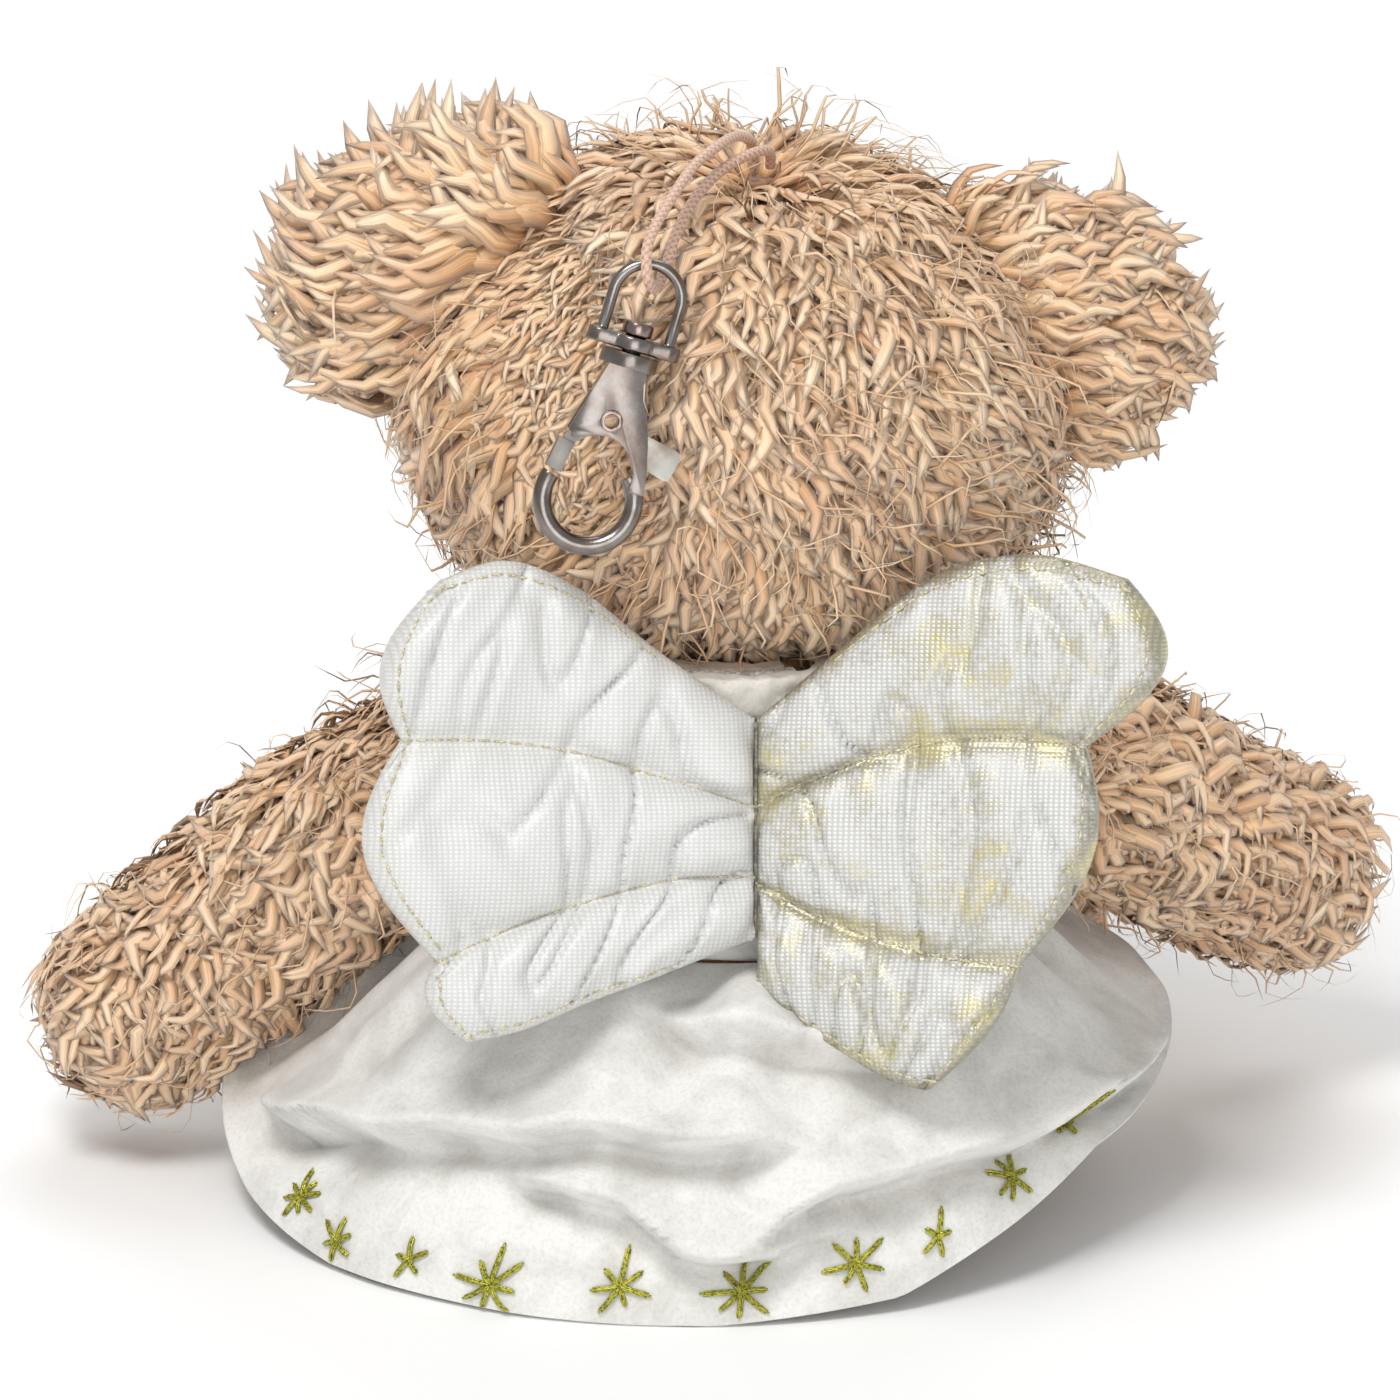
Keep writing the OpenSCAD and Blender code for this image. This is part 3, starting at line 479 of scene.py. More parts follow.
def pearl_knit(name):
    """Warp-knitted nylon with a pearl film: white, softly shining, and yellowed at its seams."""
    values = bpy.context.scene.bear_wing
    made, tree, shader = finish(
        name, Roughness=0.42, IOR=1.53, Coat_Weight=0.25, Coat_Roughness=0.3, Sheen_Weight=0.15)
    place = add(tree, "ShaderNodeUVMap", uv_map="cloth")
    height = knit_height(tree, place.outputs["UV"], values.knit_pitch)
    near = add(tree, "ShaderNodeAttribute", attribute_name="seam")
    spot = add(tree, "ShaderNodeTexCoord")
    stain = add(tree, "ShaderNodeTexNoise", {
        "Vector": spot.outputs["Object"], "Scale": 260.0, "Detail": 3.0})
    ribs = add(tree, "ShaderNodeValToRGB", {0: height.outputs[0]}, stops=[
        (0.0, "#DEDEDB"), (0.45, "#FFFFFF")])
    body = mixed(tree, 0.8, shade(values.pearl), ribs.outputs[0], "MULTIPLY")
    worn = add(tree, "ShaderNodeMath", {
        0: near.outputs["Fac"], 1: stain.outputs["Fac"]}, operation="MULTIPLY")
    body = mixed(tree, worn.outputs[0], body, shade("#C4BB9C"))
    tree.links.new(body, shader.inputs["Base Color"])
    bumped(tree, shader, height.outputs[0], 0.5, 0.12 * MM)
    return made


def foil_knit(name):
    """The same warp knit with gold foil pressed on it, worn off in blotches down to the white yarn."""
    values = bpy.context.scene.bear_wing
    made, tree, shader = finish(name, Roughness=0.4, IOR=1.53, Coat_Weight=0.2, Coat_Roughness=0.3)
    place = add(tree, "ShaderNodeUVMap", uv_map="cloth")
    height = knit_height(tree, place.outputs["UV"], values.knit_pitch)
    near = add(tree, "ShaderNodeAttribute", attribute_name="seam")
    spot = add(tree, "ShaderNodeTexCoord")
    blotch = add(tree, "ShaderNodeTexNoise", {
        "Vector": spot.outputs["Object"], "Scale": 1 / (6.5 * MM), "Detail": 6.0, "Roughness": 0.68,
        "Distortion": 0.3})
    grit = add(tree, "ShaderNodeTexNoise", {
        "Vector": spot.outputs["Object"], "Scale": 1 / (0.7 * MM), "Detail": 2.0})
    pressed = add(tree, "ShaderNodeMath", {
        0: blotch.outputs["Fac"], 1: near.outputs["Fac"]}, operation="ADD")
    rough = add(tree, "ShaderNodeMath", {
        0: grit.outputs["Fac"], 1: 0.3, 2: pressed.outputs[0]}, operation="MULTIPLY_ADD")
    cover = add(tree, "ShaderNodeValToRGB", {0: rough.outputs[0]}, stops=[
        (0.62, "#000000"), (0.84, "#FFFFFF")])
    gilt = add(tree, "ShaderNodeValToRGB", {0: blotch.outputs["Fac"]}, stops=[
        (0.4, "#A59F8C"), (0.54, values.foil), (0.68, "#DDD4A8")])
    ribs = add(tree, "ShaderNodeValToRGB", {0: height.outputs[0]}, stops=[
        (0.0, "#CFCEC8"), (0.5, "#FFFFFF")])
    body = mixed(tree, 0.85, shade(values.pearl), ribs.outputs[0], "MULTIPLY")
    gold = mixed(tree, 0.6, gilt.outputs[0], ribs.outputs[0], "MULTIPLY")
    colour = mixed(tree, cover.outputs[0], body, gold)
    shine = add(tree, "ShaderNodeMath", {0: cover.outputs[0], 1: 0.55}, operation="MULTIPLY")
    tree.links.new(colour, shader.inputs["Base Color"])
    tree.links.new(shine.outputs[0], shader.inputs["Metallic"])
    bumped(tree, shader, height.outputs[0], 0.5, 0.12 * MM)
    return made


def spun_thread(name, code, shine=0.0):
    """Twisted sewing thread, or metallised embroidery thread where it shines."""
    made, tree, shader = finish(name, Roughness=0.6 - 0.25 * shine, IOR=1.5, Metallic=0.65 * shine)
    spot = add(tree, "ShaderNodeTexCoord")
    ply = add(tree, "ShaderNodeTexNoise", {
        "Vector": spot.outputs["Object"], "Scale": 1 / (0.28 * MM), "Detail": 2.0})
    tone = add(tree, "ShaderNodeValToRGB", {0: ply.outputs["Fac"]}, stops=[
        (0.36, "#6E6A4A" if shine else "#B8B4A6"), (0.5, "#E2E0C8"), (0.62, "#FFFFFF")])
    colour = mixed(tree, 0.9, shade(code), tone.outputs[0], "MULTIPLY")
    tree.links.new(colour, shader.inputs["Base Color"])
    bumped(tree, shader, ply.outputs["Fac"], 0.6, 0.1 * MM)
    return made


def braided_nylon(name):
    """Braided nylon cord: slanting strands with a soft lustre, painted shade in the gaps between them and a
    painted highlight on their crowns.
    """
    values = bpy.context.scene.bear_clasp
    made, tree, shader = finish(name, Roughness=0.5, IOR=1.53, Sheen_Weight=0.2)
    strand = add(tree, "ShaderNodeAttribute", attribute_name="strand")
    # The braid's height sets its colour: painted shade where it is low, in the gaps, and a painted highlight
    # where it is high, on the crowns.
    tone = add(tree, "ShaderNodeValToRGB", {0: strand.outputs["Fac"]}, stops=[
        (0.0, "#8F6551"), (0.55, values.cord_colour), (1.0, "#F0D5C3")])
    spot = add(tree, "ShaderNodeTexCoord")
    fibre = add(tree, "ShaderNodeTexNoise", {"Vector": spot.outputs["Object"], "Scale": 1 / (0.15 * MM)})
    colour = mixed(tree, 0.2, tone.outputs[0], fibre.outputs["Color"], "MULTIPLY")
    tree.links.new(colour, shader.inputs["Base Color"])
    bumped(tree, shader, fibre.outputs["Fac"], 0.3, 0.05 * MM)
    return made


def plated_zinc(name, code, rough=0.22, darker_left_of=None):
    """Metal plated in nickel and tumbled: bright, faintly warm, with small scuffs.
    A part can be made darker left of a place, given in metres."""
    made, tree, shader = finish(name, Metallic=1.0, Roughness=rough)
    spot = add(tree, "ShaderNodeTexCoord")
    cloud = add(tree, "ShaderNodeTexNoise", {
        "Vector": spot.outputs["Object"], "Scale": 1 / (3 * MM), "Detail": 4.0})
    scuff = add(tree, "ShaderNodeTexNoise", {
        "Vector": spot.outputs["Object"], "Scale": 1 / (0.4 * MM), "Detail": 3.0, "Roughness": 0.7})
    tone = add(tree, "ShaderNodeValToRGB", {0: cloud.outputs["Fac"]}, stops=[
        (0.35, "#D8C4BC"), (0.6, "#FFFFFF")])
    colour = mixed(tree, 0.8, shade(code), tone.outputs[0], "MULTIPLY")
    if darker_left_of is not None:
        parts = add(tree, "ShaderNodeSeparateXYZ", {0: spot.outputs["Object"]})
        left = add(tree, "ShaderNodeMath", {0: parts.outputs[0], 1: darker_left_of}, operation="LESS_THAN")
        colour = mixed(tree, left.outputs[0], colour, shade(bpy.context.scene.bear_clasp.metal))
    wear = add(tree, "ShaderNodeMapRange", {0: scuff.outputs["Fac"], 3: rough * 0.75, 4: rough * 1.7})
    tree.links.new(colour, shader.inputs["Base Color"])
    tree.links.new(wear.outputs[0], shader.inputs["Roughness"])
    bumped(tree, shader, scuff.outputs["Fac"], 0.12, 0.05 * MM)
    return made


def moulded_plastic(name, code, rough):
    """Injection-moulded plastic: even colour, fine surface ripple and a clear highlight."""
    made, tree, shader = finish(name, Roughness=rough, IOR=1.54)
    spot = add(tree, "ShaderNodeTexCoord")
    ripple = add(tree, "ShaderNodeTexNoise", {
        "Vector": spot.outputs["Object"], "Scale": 1 / (1.2 * MM), "Detail": 3.0})
    tone = add(tree, "ShaderNodeValToRGB", {0: ripple.outputs["Fac"]}, stops=[
        (0.3, "#D9D9D9"), (0.6, "#FFFFFF")])
    colour = mixed(tree, 0.5, shade(code), tone.outputs[0], "MULTIPLY")
    tree.links.new(colour, shader.inputs["Base Color"])
    bumped(tree, shader, ripple.outputs["Fac"], 0.1, 0.03 * MM)
    return made


def nylon_tape(name, code, scale):
    """Woven nylon tape with hooks or loops: small stiff bristles in rows."""
    made, tree, shader = finish(name, Roughness=0.7, IOR=1.53)
    spot = add(tree, "ShaderNodeTexCoord")
    rows = add(tree, "ShaderNodeTexVoronoi", {"Vector": spot.outputs["Object"], "Scale": 1 / scale})
    tone = add(tree, "ShaderNodeValToRGB", {0: rows.outputs["Distance"]}, stops=[
        (0.1, "#FFFFFF"), (0.7, "#B5B2AA")])
    colour = mixed(tree, 0.9, shade(code), tone.outputs[0], "MULTIPLY")
    tree.links.new(colour, shader.inputs["Base Color"])
    bumped(tree, shader, rows.outputs["Distance"], 0.8, 0.2 * MM)
    return made


def painted_floor(name):
    """Matt painted board: a pale floor with a very faint mottle."""
    colour = bpy.context.scene.bear_stage.backdrop
    made, tree, shader = finish(name, Roughness=0.95)
    spot = add(tree, "ShaderNodeTexCoord")
    mottle = add(tree, "ShaderNodeTexNoise", {"Vector": spot.outputs["Object"], "Scale": 12.0})
    tone = mixed(tree, mottle.outputs["Fac"], shade(colour), shade("#F7F7F6"))
    tree.links.new(tone, shader.inputs["Base Color"])
    return made


# ---- Pile ----

LOCK_UNIT = 10 * MM


def lock_form(name, sway, lift, hook, width, rows=6):
    """One lock of fibres, a unit long: it leaves the cloth, sways to one side and ends in a point."""
    t = np.linspace(0, 1, rows + 1)
    line = np.stack([
        sway * np.sin(2 * math.pi * (1.15 * t + 0.05)) * t ** 0.8 + hook * t ** 3,
        t - 0.22 * lift * t ** 2,
        lift * np.sin(math.pi * np.minimum(1, 0.78 * t)) - 0.05,
    ], axis=1)
    runs = np.gradient(line, axis=0)
    runs /= np.linalg.norm(runs, axis=1)[:, None]
    reach = width * np.minimum(1, 0.55 + 1.5 * t) * (1 - t ** 2.4) ** 0.75
    points, places = [], []
    for i in range(rows):
        side = np.cross(runs[i], (0, 0, 1))
        side /= np.linalg.norm(side)
        up = np.cross(side, runs[i])
        # A low three-sided section: its ridge catches the light as a twist of fibres does.
        for across, rise in ((-1, 0), (0.1, 0.3), (1, 0)):
            points.append(line[i] + reach[i] * (across * side + rise * up))
            places.append((0.5 + across / 2, t[i]))
    points.append(line[-1])
    places.append((0.5, 1.0))
    faces = [(2, 1, 0)]
    for i in range(rows - 1):
        for j in range(3):
            k = (j + 1) % 3
            faces.append((i * 3 + j, i * 3 + k, (i + 1) * 3 + k, (i + 1) * 3 + j))
    last = (rows - 1) * 3
    faces += [(last + j, last + (j + 1) % 3, rows * 3) for j in range(3)]
    mesh = bpy.data.meshes.new(name)
    mesh.from_pydata((np.array(points) * LOCK_UNIT).tolist(), [], faces)
    outward(mesh)
    mesh.shade_smooth()
    layer = mesh.uv_layers.new(name="lock")
    for loop in mesh.loops:
        layer.data[loop.index].uv = places[loop.vertex_index]
    return bpy.data.objects.new(name, mesh)


def lock_forms(name, shapes):
    """A collection of lock forms to pick from; each shape is its sway, lift, hook and width."""
    group = bpy.data.collections.new(name)
    for number, shape in enumerate(shapes):
        group.objects.link(lock_form(f"{name}_{number}", *shape))
    return group


def node_group(name, inputs, result):
    """A Geometry Nodes group with its named inputs; returns it with its inputs' identifiers."""
    tree = bpy.data.node_groups.new(name, "GeometryNodeTree")
    sockets = {}
    for word, kind in inputs.items():
        socket = tree.interface.new_socket(word, in_out="INPUT", socket_type=f"NodeSocket{kind}")
        sockets[word] = socket.identifier
    tree.interface.new_socket(result, in_out="OUTPUT", socket_type="NodeSocketGeometry")
    return tree, sockets


def pile_tree():
    """Scatters locks over a mesh that has the attributes lay, cover and reach on its points."""
    tree, sockets = node_group("Pile locks", {
        "Ground": "Geometry", "Spacing": "Float", "Forms": "Collection", "Form count": "Int",
        "Tilt": "Float", "Turn": "Float", "Seed": "Int", "Material": "Material"}, "Pile")
    given = add(tree, "NodeGroupInput").outputs
    lay = add(tree, "GeometryNodeInputNamedAttribute", {"Name": "lay"}, data_type="FLOAT_VECTOR").outputs[0]
    cover = add(tree, "GeometryNodeInputNamedAttribute", {"Name": "cover"}, data_type="FLOAT").outputs[0]
    reach = add(tree, "GeometryNodeInputNamedAttribute", {"Name": "reach"}, data_type="FLOAT").outputs[0]
    roots = add(tree, "GeometryNodeDistributePointsOnFaces", {
        "Mesh": given["Ground"], "Distance Min": given["Spacing"], "Density Max": 4.5e6,
        "Density Factor": cover, "Seed": given["Seed"]}, distribute_method="POISSON")
    stand = add(tree, "FunctionNodeAxesToRotation", {
        "Primary Axis": roots.outputs["Normal"], "Secondary Axis": lay},
        primary_axis="Z", secondary_axis="Y")
    less = add(tree, "ShaderNodeMath", {0: given["Tilt"], 1: -0.55}, operation="MULTIPLY")
    back = add(tree, "ShaderNodeMath", {0: given["Turn"], 1: -1.0}, operation="MULTIPLY")
    low = add(tree, "ShaderNodeCombineXYZ", {0: less.outputs[0], 1: back.outputs[0], 2: back.outputs[0]})
    high = add(tree, "ShaderNodeCombineXYZ", {0: given["Tilt"], 1: given["Turn"], 2: given["Turn"]})
    lean = add(tree, "FunctionNodeRandomValue", {
        "Min": low.outputs[0], "Max": high.outputs[0], "Seed": given["Seed"]}, data_type="FLOAT_VECTOR")
    angle = add(tree, "FunctionNodeEulerToRotation", {0: lean.outputs["Value"]})
    turned = add(tree, "FunctionNodeRotateRotation", {
        0: stand.outputs[0], 1: angle.outputs[0]}, rotation_space="LOCAL")
    vary = add(tree, "FunctionNodeRandomValue", {
        "Min": (0.75, 0.72, 0.8), "Max": (1.25, 1.2, 1.2), "Seed": 3}, data_type="FLOAT_VECTOR")
    scale = add(tree, "ShaderNodeVectorMath", {0: vary.outputs["Value"], "Scale": reach}, operation="SCALE")
    last = add(tree, "ShaderNodeMath", {0: given["Form count"], 1: -1.0}, operation="ADD")
    pick = add(tree, "FunctionNodeRandomValue", {4: 0, 5: last.outputs[0], "Seed": 8}, data_type="INT")
    forms = add(tree, "GeometryNodeCollectionInfo", {
        "Collection": given["Forms"], "Separate Children": True, "Reset Children": True})
    locks = add(tree, "GeometryNodeInstanceOnPoints", {
        "Points": roots.outputs["Points"], "Instance": forms.outputs[0], "Pick Instance": True,
        "Instance Index": pick.outputs[2], "Rotation": turned.outputs[0], "Scale": scale.outputs[0]})
    chance = add(tree, "FunctionNodeRandomValue", {"Seed": 5}, data_type="FLOAT")
    named = add(tree, "GeometryNodeStoreNamedAttribute", {
        "Geometry": locks.outputs[0], "Name": "chance", "Value": chance.outputs[1]},
        data_type="FLOAT", domain="INSTANCE")
    real = add(tree, "GeometryNodeRealizeInstances", {0: named.outputs[0]})
    coloured = add(tree, "GeometryNodeSetMaterial", {
        "Geometry": real.outputs[0], "Material": given["Material"]})
    add(tree, "NodeGroupOutput", {0: coloured.outputs[0]})
    return tree, sockets


def grow(name, skin, body, lay, cover, length, spacing, shapes, coat, seed=0, tilt=0.16, turn=0.15,
         pressed=None):
    """Grows locks on a skin's outside as a new plain mesh that rides on the same body.
    lay gives the pile's direction at a point, cover its share, and pressed the share of its length
    that is left there."""
    if "pile" not in MADE:
        MADE["pile"] = pile_tree()
    tree, sockets = MADE["pile"]
    key = ("forms", *shapes)
    if key not in MADE:
        MADE[key] = lock_forms(f"form_{len(MADE)}", shapes)
    ground = skin.copy()
    ground.data = skin.data.copy()
    bpy.context.scene.collection.objects.link(ground)
    mesh = ground.data
    places = [vertex.co.copy() for vertex in mesh.vertices]
    normals = [vertex.normal.copy() for vertex in mesh.vertices]
    lays = np.array([list(lay(p, n)) for p, n in zip(places, normals)])
    covers = np.array([cover(p, n) for p, n in zip(places, normals)])
    mesh.attributes.new("lay", "FLOAT_VECTOR", "POINT").data.foreach_set("vector", lays.ravel())
    mesh.attributes.new("cover", "FLOAT", "POINT").data.foreach_set("value", covers)
    reaches = np.array([length / LOCK_UNIT * (pressed(p) if pressed else 1.0) for p in places])
    mesh.attributes.new("reach", "FLOAT", "POINT").data.foreach_set("value", reaches)
    spread = ground.modifiers.new("pile", "NODES")
    spread.node_group = tree
    for socket, value in (("Spacing", spacing), ("Forms", MADE[key]), ("Form count", len(shapes)),
                          ("Tilt", tilt), ("Turn", turn), ("Material", coat),
                          ("Seed", bpy.context.scene.bear_pile.seed + seed)):
        spread[sockets[socket]] = value
    ground.data.update()
    settled(ground)
    for vertex in ground.data.vertices:
        vertex.co.z = max(vertex.co.z, 0.05 * MM)
    ground.name = name
    ground.data.name = name
    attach(ground, body)
    return ground


# Sway, lift, hook and width of each form, as shares of the lock's length
LONG_LOCKS = (
    (0.13, 0.24, 0.08, 0.125), (-0.15, 0.20, -0.10, 0.110), (0.17, 0.18, 0.16, 0.130),
    (-0.12, 0.27, 0.14, 0.100), (0.12, 0.32, -0.16, 0.085), (-0.17, 0.22, -0.18, 0.120),
)
CURLED_LOCKS = (
    (0.18, 0.30, 0.20, 0.140), (-0.18, 0.28, -0.20, 0.130), (0.21, 0.36, 0.10, 0.120),
    (-0.21, 0.34, -0.12, 0.135), (0.15, 0.44, -0.24, 0.110),
)
FINE_STRANDS = (
    (0.16, 0.50, 0.25, 0.015), (-0.18, 0.55, -0.2, 0.013), (0.12, 0.62, -0.30, 0.016),
)


def turned_lay(direction, normal, angle):
    """A direction laid on the surface and turned about its normal."""
    flat = direction - normal * direction.dot(normal)
    flat.normalize()
    return flat * math.cos(angle) + normal.cross(flat) * math.sin(angle)


# ---- Soft forms ----

def egg(centre, half, roll=0.0, rows=40, cols=72):
    """Rings of an ellipsoid leaning sideways by roll."""
    c, s = math.cos(roll), math.sin(roll)

    def put(x, y, z):
        x, y, z = x * half[0], y * half[1], z * half[2]
        return [centre[0] + x * c + z * s, centre[1] + y, centre[2] - x * s + z * c]

    rings = []
    for i in range(1, rows):
        a = math.pi * i / rows
        rings.append([put(math.sin(a) * math.cos(t), math.sin(a) * math.sin(t), math.cos(a))
                      for t in np.linspace(0, 2 * math.pi, cols, endpoint=False)])
    return ball(rings, put(0, 0, 1), put(0, 0, -1))


def limb(start, run, r0, r1, rows=44, cols=40):
    """Rings of a tapered limb with round ends, from its start along its run."""
    start, run = np.asarray(start, float), np.asarray(run, float)
    length = np.linalg.norm(run)
    axis = run / length
    side = np.cross(axis, (0, 0, 1.0))
    side /= np.linalg.norm(side)
    up = np.cross(side, axis)
    lean = math.asin((r0 - r1) / length)
    profile = []
    for a in np.linspace(-math.pi / 2, lean, 10)[1:]:
        profile.append((r0 * math.cos(a), r0 * math.sin(a)))
    begin, end = profile[-1], (r1 * math.cos(lean), length + r1 * math.sin(lean))
    for f in np.linspace(0, 1, rows - 18)[1:]:
        profile.append((begin[0] + (end[0] - begin[0]) * f, begin[1] + (end[1] - begin[1]) * f))
    for a in np.linspace(lean, math.pi / 2, 10)[1:-1]:
        profile.append((r1 * math.cos(a), length + r1 * math.sin(a)))
    rings = [[start + axis * z + r * (side * math.cos(t) + up * math.sin(t))
              for t in np.linspace(0, 2 * math.pi, cols, endpoint=False)] for r, z in profile]
    return ball(rings, start - axis * r0, start + axis * (length + r1))


# Sizes that the frame's boxes don't give directly, in metres, as the CAD has them
HEAD_ROLL = math.radians(5)
SHOULDER_R = 9 * MM
PAW_R = 8 * MM
HIP_R = 12 * MM
SHOULDERS = {LEFT: (-29.5 * MM, -2 * MM, 53 * MM), RIGHT: (29.5 * MM, -2 * MM, 53 * MM)}
ARM_RUNS = {LEFT: (-37.5 * MM, 6 * MM, -34 * MM), RIGHT: (32.5 * MM, 28 * MM, -26 * MM)}
HIP = (17 * MM, 4 * MM, 12.5 * MM)
FOOT = (27 * MM, 42 * MM, 12 * MM)
HEAD_HALF = Vector((32.5, 28.5, 26)) * MM
HEAD_CENTRE = Vector((0.8, 2, 93)) * MM
EAR_HALF = Vector((17, 4.5, 13)) * MM
MUZZLE_HALF = Vector((12.5, 9, 9.5)) * MM


def in_head(x, y, z):
    """A point given from the head's middle, in the head's leaning frame."""
    c, s = math.cos(HEAD_ROLL), math.sin(HEAD_ROLL)
    return HEAD_CENTRE + Vector((x * c + z * s, y, -x * s + z * c))


def from_head(point):
    """A point in the head's leaning frame."""
    c, s = math.cos(HEAD_ROLL), math.sin(HEAD_ROLL)
    p = point - HEAD_CENTRE
    return Vector((p.x * c - p.z * s, p.y, p.x * s + p.z * c))


def depth_in(point, half, centre=Vector((0, 0, 0))):
    """How deep a head-frame point is in an ellipsoid: 1 on its surface, less inside."""
    p = point - centre
    return math.sqrt((p.x / half.x) ** 2 + (p.y / half.y) ** 2 + (p.z / half.z) ** 2)


EAR_PLACES = {side: Vector((side * 28.5, 0, 11)) * MM for side in (LEFT, RIGHT)}
MUZZLE_PLACE = Vector((0, 26.5, -8)) * MM


def head_lay(point, normal):
    """Pile on the head falls outwards from the crown, and sweeps away from the middle at the back."""
    p = from_head(point)
    fall = Vector((p.x * 0.9, p.y * 0.35, -22 * MM))
    sweep = 0.55 * max(-1.0, min(1.0, p.x / (14 * MM)))
    if p.y < 0:
        fall.x += sweep * 16 * MM
    if p.z > 12 * MM:
        fall += Vector((p.x, p.y + 4 * MM, 0)) * 1.2
    swirl = 0.8 * wander(point, 11 * MM, 1) + 0.75 * wander(point, 4.5 * MM, 2)
    return turned_lay(fall, normal, swirl)


def head_cover(point, normal):
    """Locks grow everywhere on the head but at its ears, eyes, muzzle and cord hole."""
    p = from_head(point)
    for side in (LEFT, RIGHT):
        if depth_in(p, EAR_HALF, EAR_PLACES[side]) < 0.97:
            return 0.0
        eye = Vector((side * 11, 26, 5)) * MM
        if (p - eye).length < 4.4 * MM:
            return 0.0
    if depth_in(p, MUZZLE_HALF, MUZZLE_PLACE) < 0.98:
        return 0.0
    if p.z > 20 * MM and math.hypot(p.x, p.y) < 2.2 * MM:
        return 0.0
    return 1.0


CLASP_NODES = ("hook_body", "swivel_eye", "gate_lever")


CLASP_LOW, CLASP_HIGH = node_box(*CLASP_NODES)
CLASP_MIDDLE = (CLASP_LOW + CLASP_HIGH) / 2
CLASP_SPAN = CLASP_HIGH - CLASP_LOW


def pressed_by_clasp(point):
    """Share of the pile's length left round the eyes, and where the clasp and the cord lie on it."""
    if point.y > 0:
        p = from_head(point)
        eye = min((p - Vector((side * 11, 26, 5)) * MM).length for side in (LEFT, RIGHT))
        return min(1.0, max(0.25, (eye - 3 * MM) / (10 * MM)))
    across = (point.x - CLASP_MIDDLE[0]) / CLASP_SPAN[0]
    gap = math.hypot(across, (point.z - CLASP_MIDDLE[2]) / CLASP_SPAN[2]) * 2
    strand = min((point - Vector(p) * MM).length for p in CORD_ROUTE)
    fuller = 1.0 + 0.25 * min(1.0, max(0.0, -point.x - 14 * MM) / (14 * MM))
    under_clasp = 0.5 + 0.5 * min(1.0, max(0.0, gap - 0.85) / 0.4)
    under_cord = 0.6 + 0.4 * min(1.0, max(0.0, strand - 2.5 * MM) / (3 * MM))
    return min(under_clasp, under_cord) * fuller


def stray_cover(point, normal):
    """Stray strands grow everywhere but under the clasp and the cord."""
    return head_cover(point, normal) if pressed_by_clasp(point) > 0.99 else 0.0


def ear_lay(side):
    """Pile on an ear points away from its root, with a curl."""
    def lay(point, normal):
        p = from_head(point) - EAR_PLACES[side]
        out = Vector((side * (p.x * side + 17 * MM), p.y, p.z * 1.2 - 3 * MM))
        swirl = 0.7 * wander(point, 7 * MM, 5 + side) + 0.5 * wander(point, 3.5 * MM, 9 + side)
        return turned_lay(out, normal, swirl)
    return lay


def ear_cover(back):
    """Locks grow on one face of an ear, outside the head."""
    def cover(point, normal):
        p = from_head(point)
        if depth_in(p, HEAD_HALF) < 1.03:
            return 0.0
        return 1.0 if (p.y <= 0.4 * MM) == back else 0.0
    return cover


# ---- Operators ----

class BEAR_OT_stage(bpy.types.Operator):
    """Sets the camera, the pale floor and the soft studio light"""
    bl_idname = "bear.stage"
    bl_label = "Stage"

    def execute(self, context):
        values = context.scene.bear_stage
        target = Vector((-4 * MM, 0, 56.5 * MM))
        back = Vector((0, -math.cos(values.elevation), math.sin(values.elevation)))
        camera = bpy.data.objects.new("Camera", bpy.data.cameras.new("Camera"))
        camera.data.lens = values.lens
        camera.data.sensor_width = 36
        camera.data.clip_start = 0.1
        camera.location = target + back * values.distance
        camera.rotation_euler = (-back).to_track_quat("-Z", "Y").to_euler()
        context.scene.collection.objects.link(camera)
        context.scene.camera = camera
        half = 3.0
        corners = [(-half, -half, 0), (half, -half, 0), (half, half, 0), (-half, half, 0)]
        floor = piece("floor", corners, [(0, 1, 2, 3)], material(painted_floor, "Painted board, matt"))
        for name, place, width, power in (
            ("key", (-0.25, -0.5, 1.0), 0.35, 6.3),
            ("front", (0.15, -1.5, 0.35), 0.9, 7.2),
            ("rim", (0.1, 0.6, 0.8), 0.6, 3.0),
        ):
            light = bpy.data.objects.new(name, bpy.data.lights.new(name, "AREA"))
            light.data.energy = power
            light.data.size = width
            light.location = place
            light.rotation_euler = (target - Vector(place)).to_track_quat("-Z", "Y").to_euler()
            context.scene.collection.objects.link(light)
        world = bpy.data.worlds.new("Soft room")
        world.use_nodes = True
        world.node_tree.nodes["Background"].inputs["Color"].default_value = shade("#FFFFFF")
        world.node_tree.nodes["Background"].inputs["Strength"].default_value = 0.5
        context.scene.world = world
        context.scene.view_settings.view_transform = "Standard"
        return {"FINISHED"}


# The cord's middle from one strand's exit at the crown to the other's, as the CAD has it, in millimetres
CORD_ROUTE = [
    [2, 2, 120.5], [2, 1.5, 122.5], [1.5, -0.5, 124.5], [0, -4, 126], [-2, -9, 126.5], [-4.5, -14, 126],
    [-6.5, -19, 124.8], [-8.5, -24, 123], [-9.5, -27, 121.8], [-10, -29, 120.6], [-10, -30, 119.2],
    [-9.8, -30, 117.6], [-9.4, -28.8, 116.3], [-8.8, -27, 115.8], [-8.2, -25.2, 116.4], [-7.6, -23, 117.6],
    [-6.5, -19, 119.8], [-4.5, -14, 122], [-1.5, -8.5, 123.5], [1.5, -4, 123.8], [3.5, -0.5, 123.2],
    [4, 1.2, 122], [4, 2, 120.5],
]


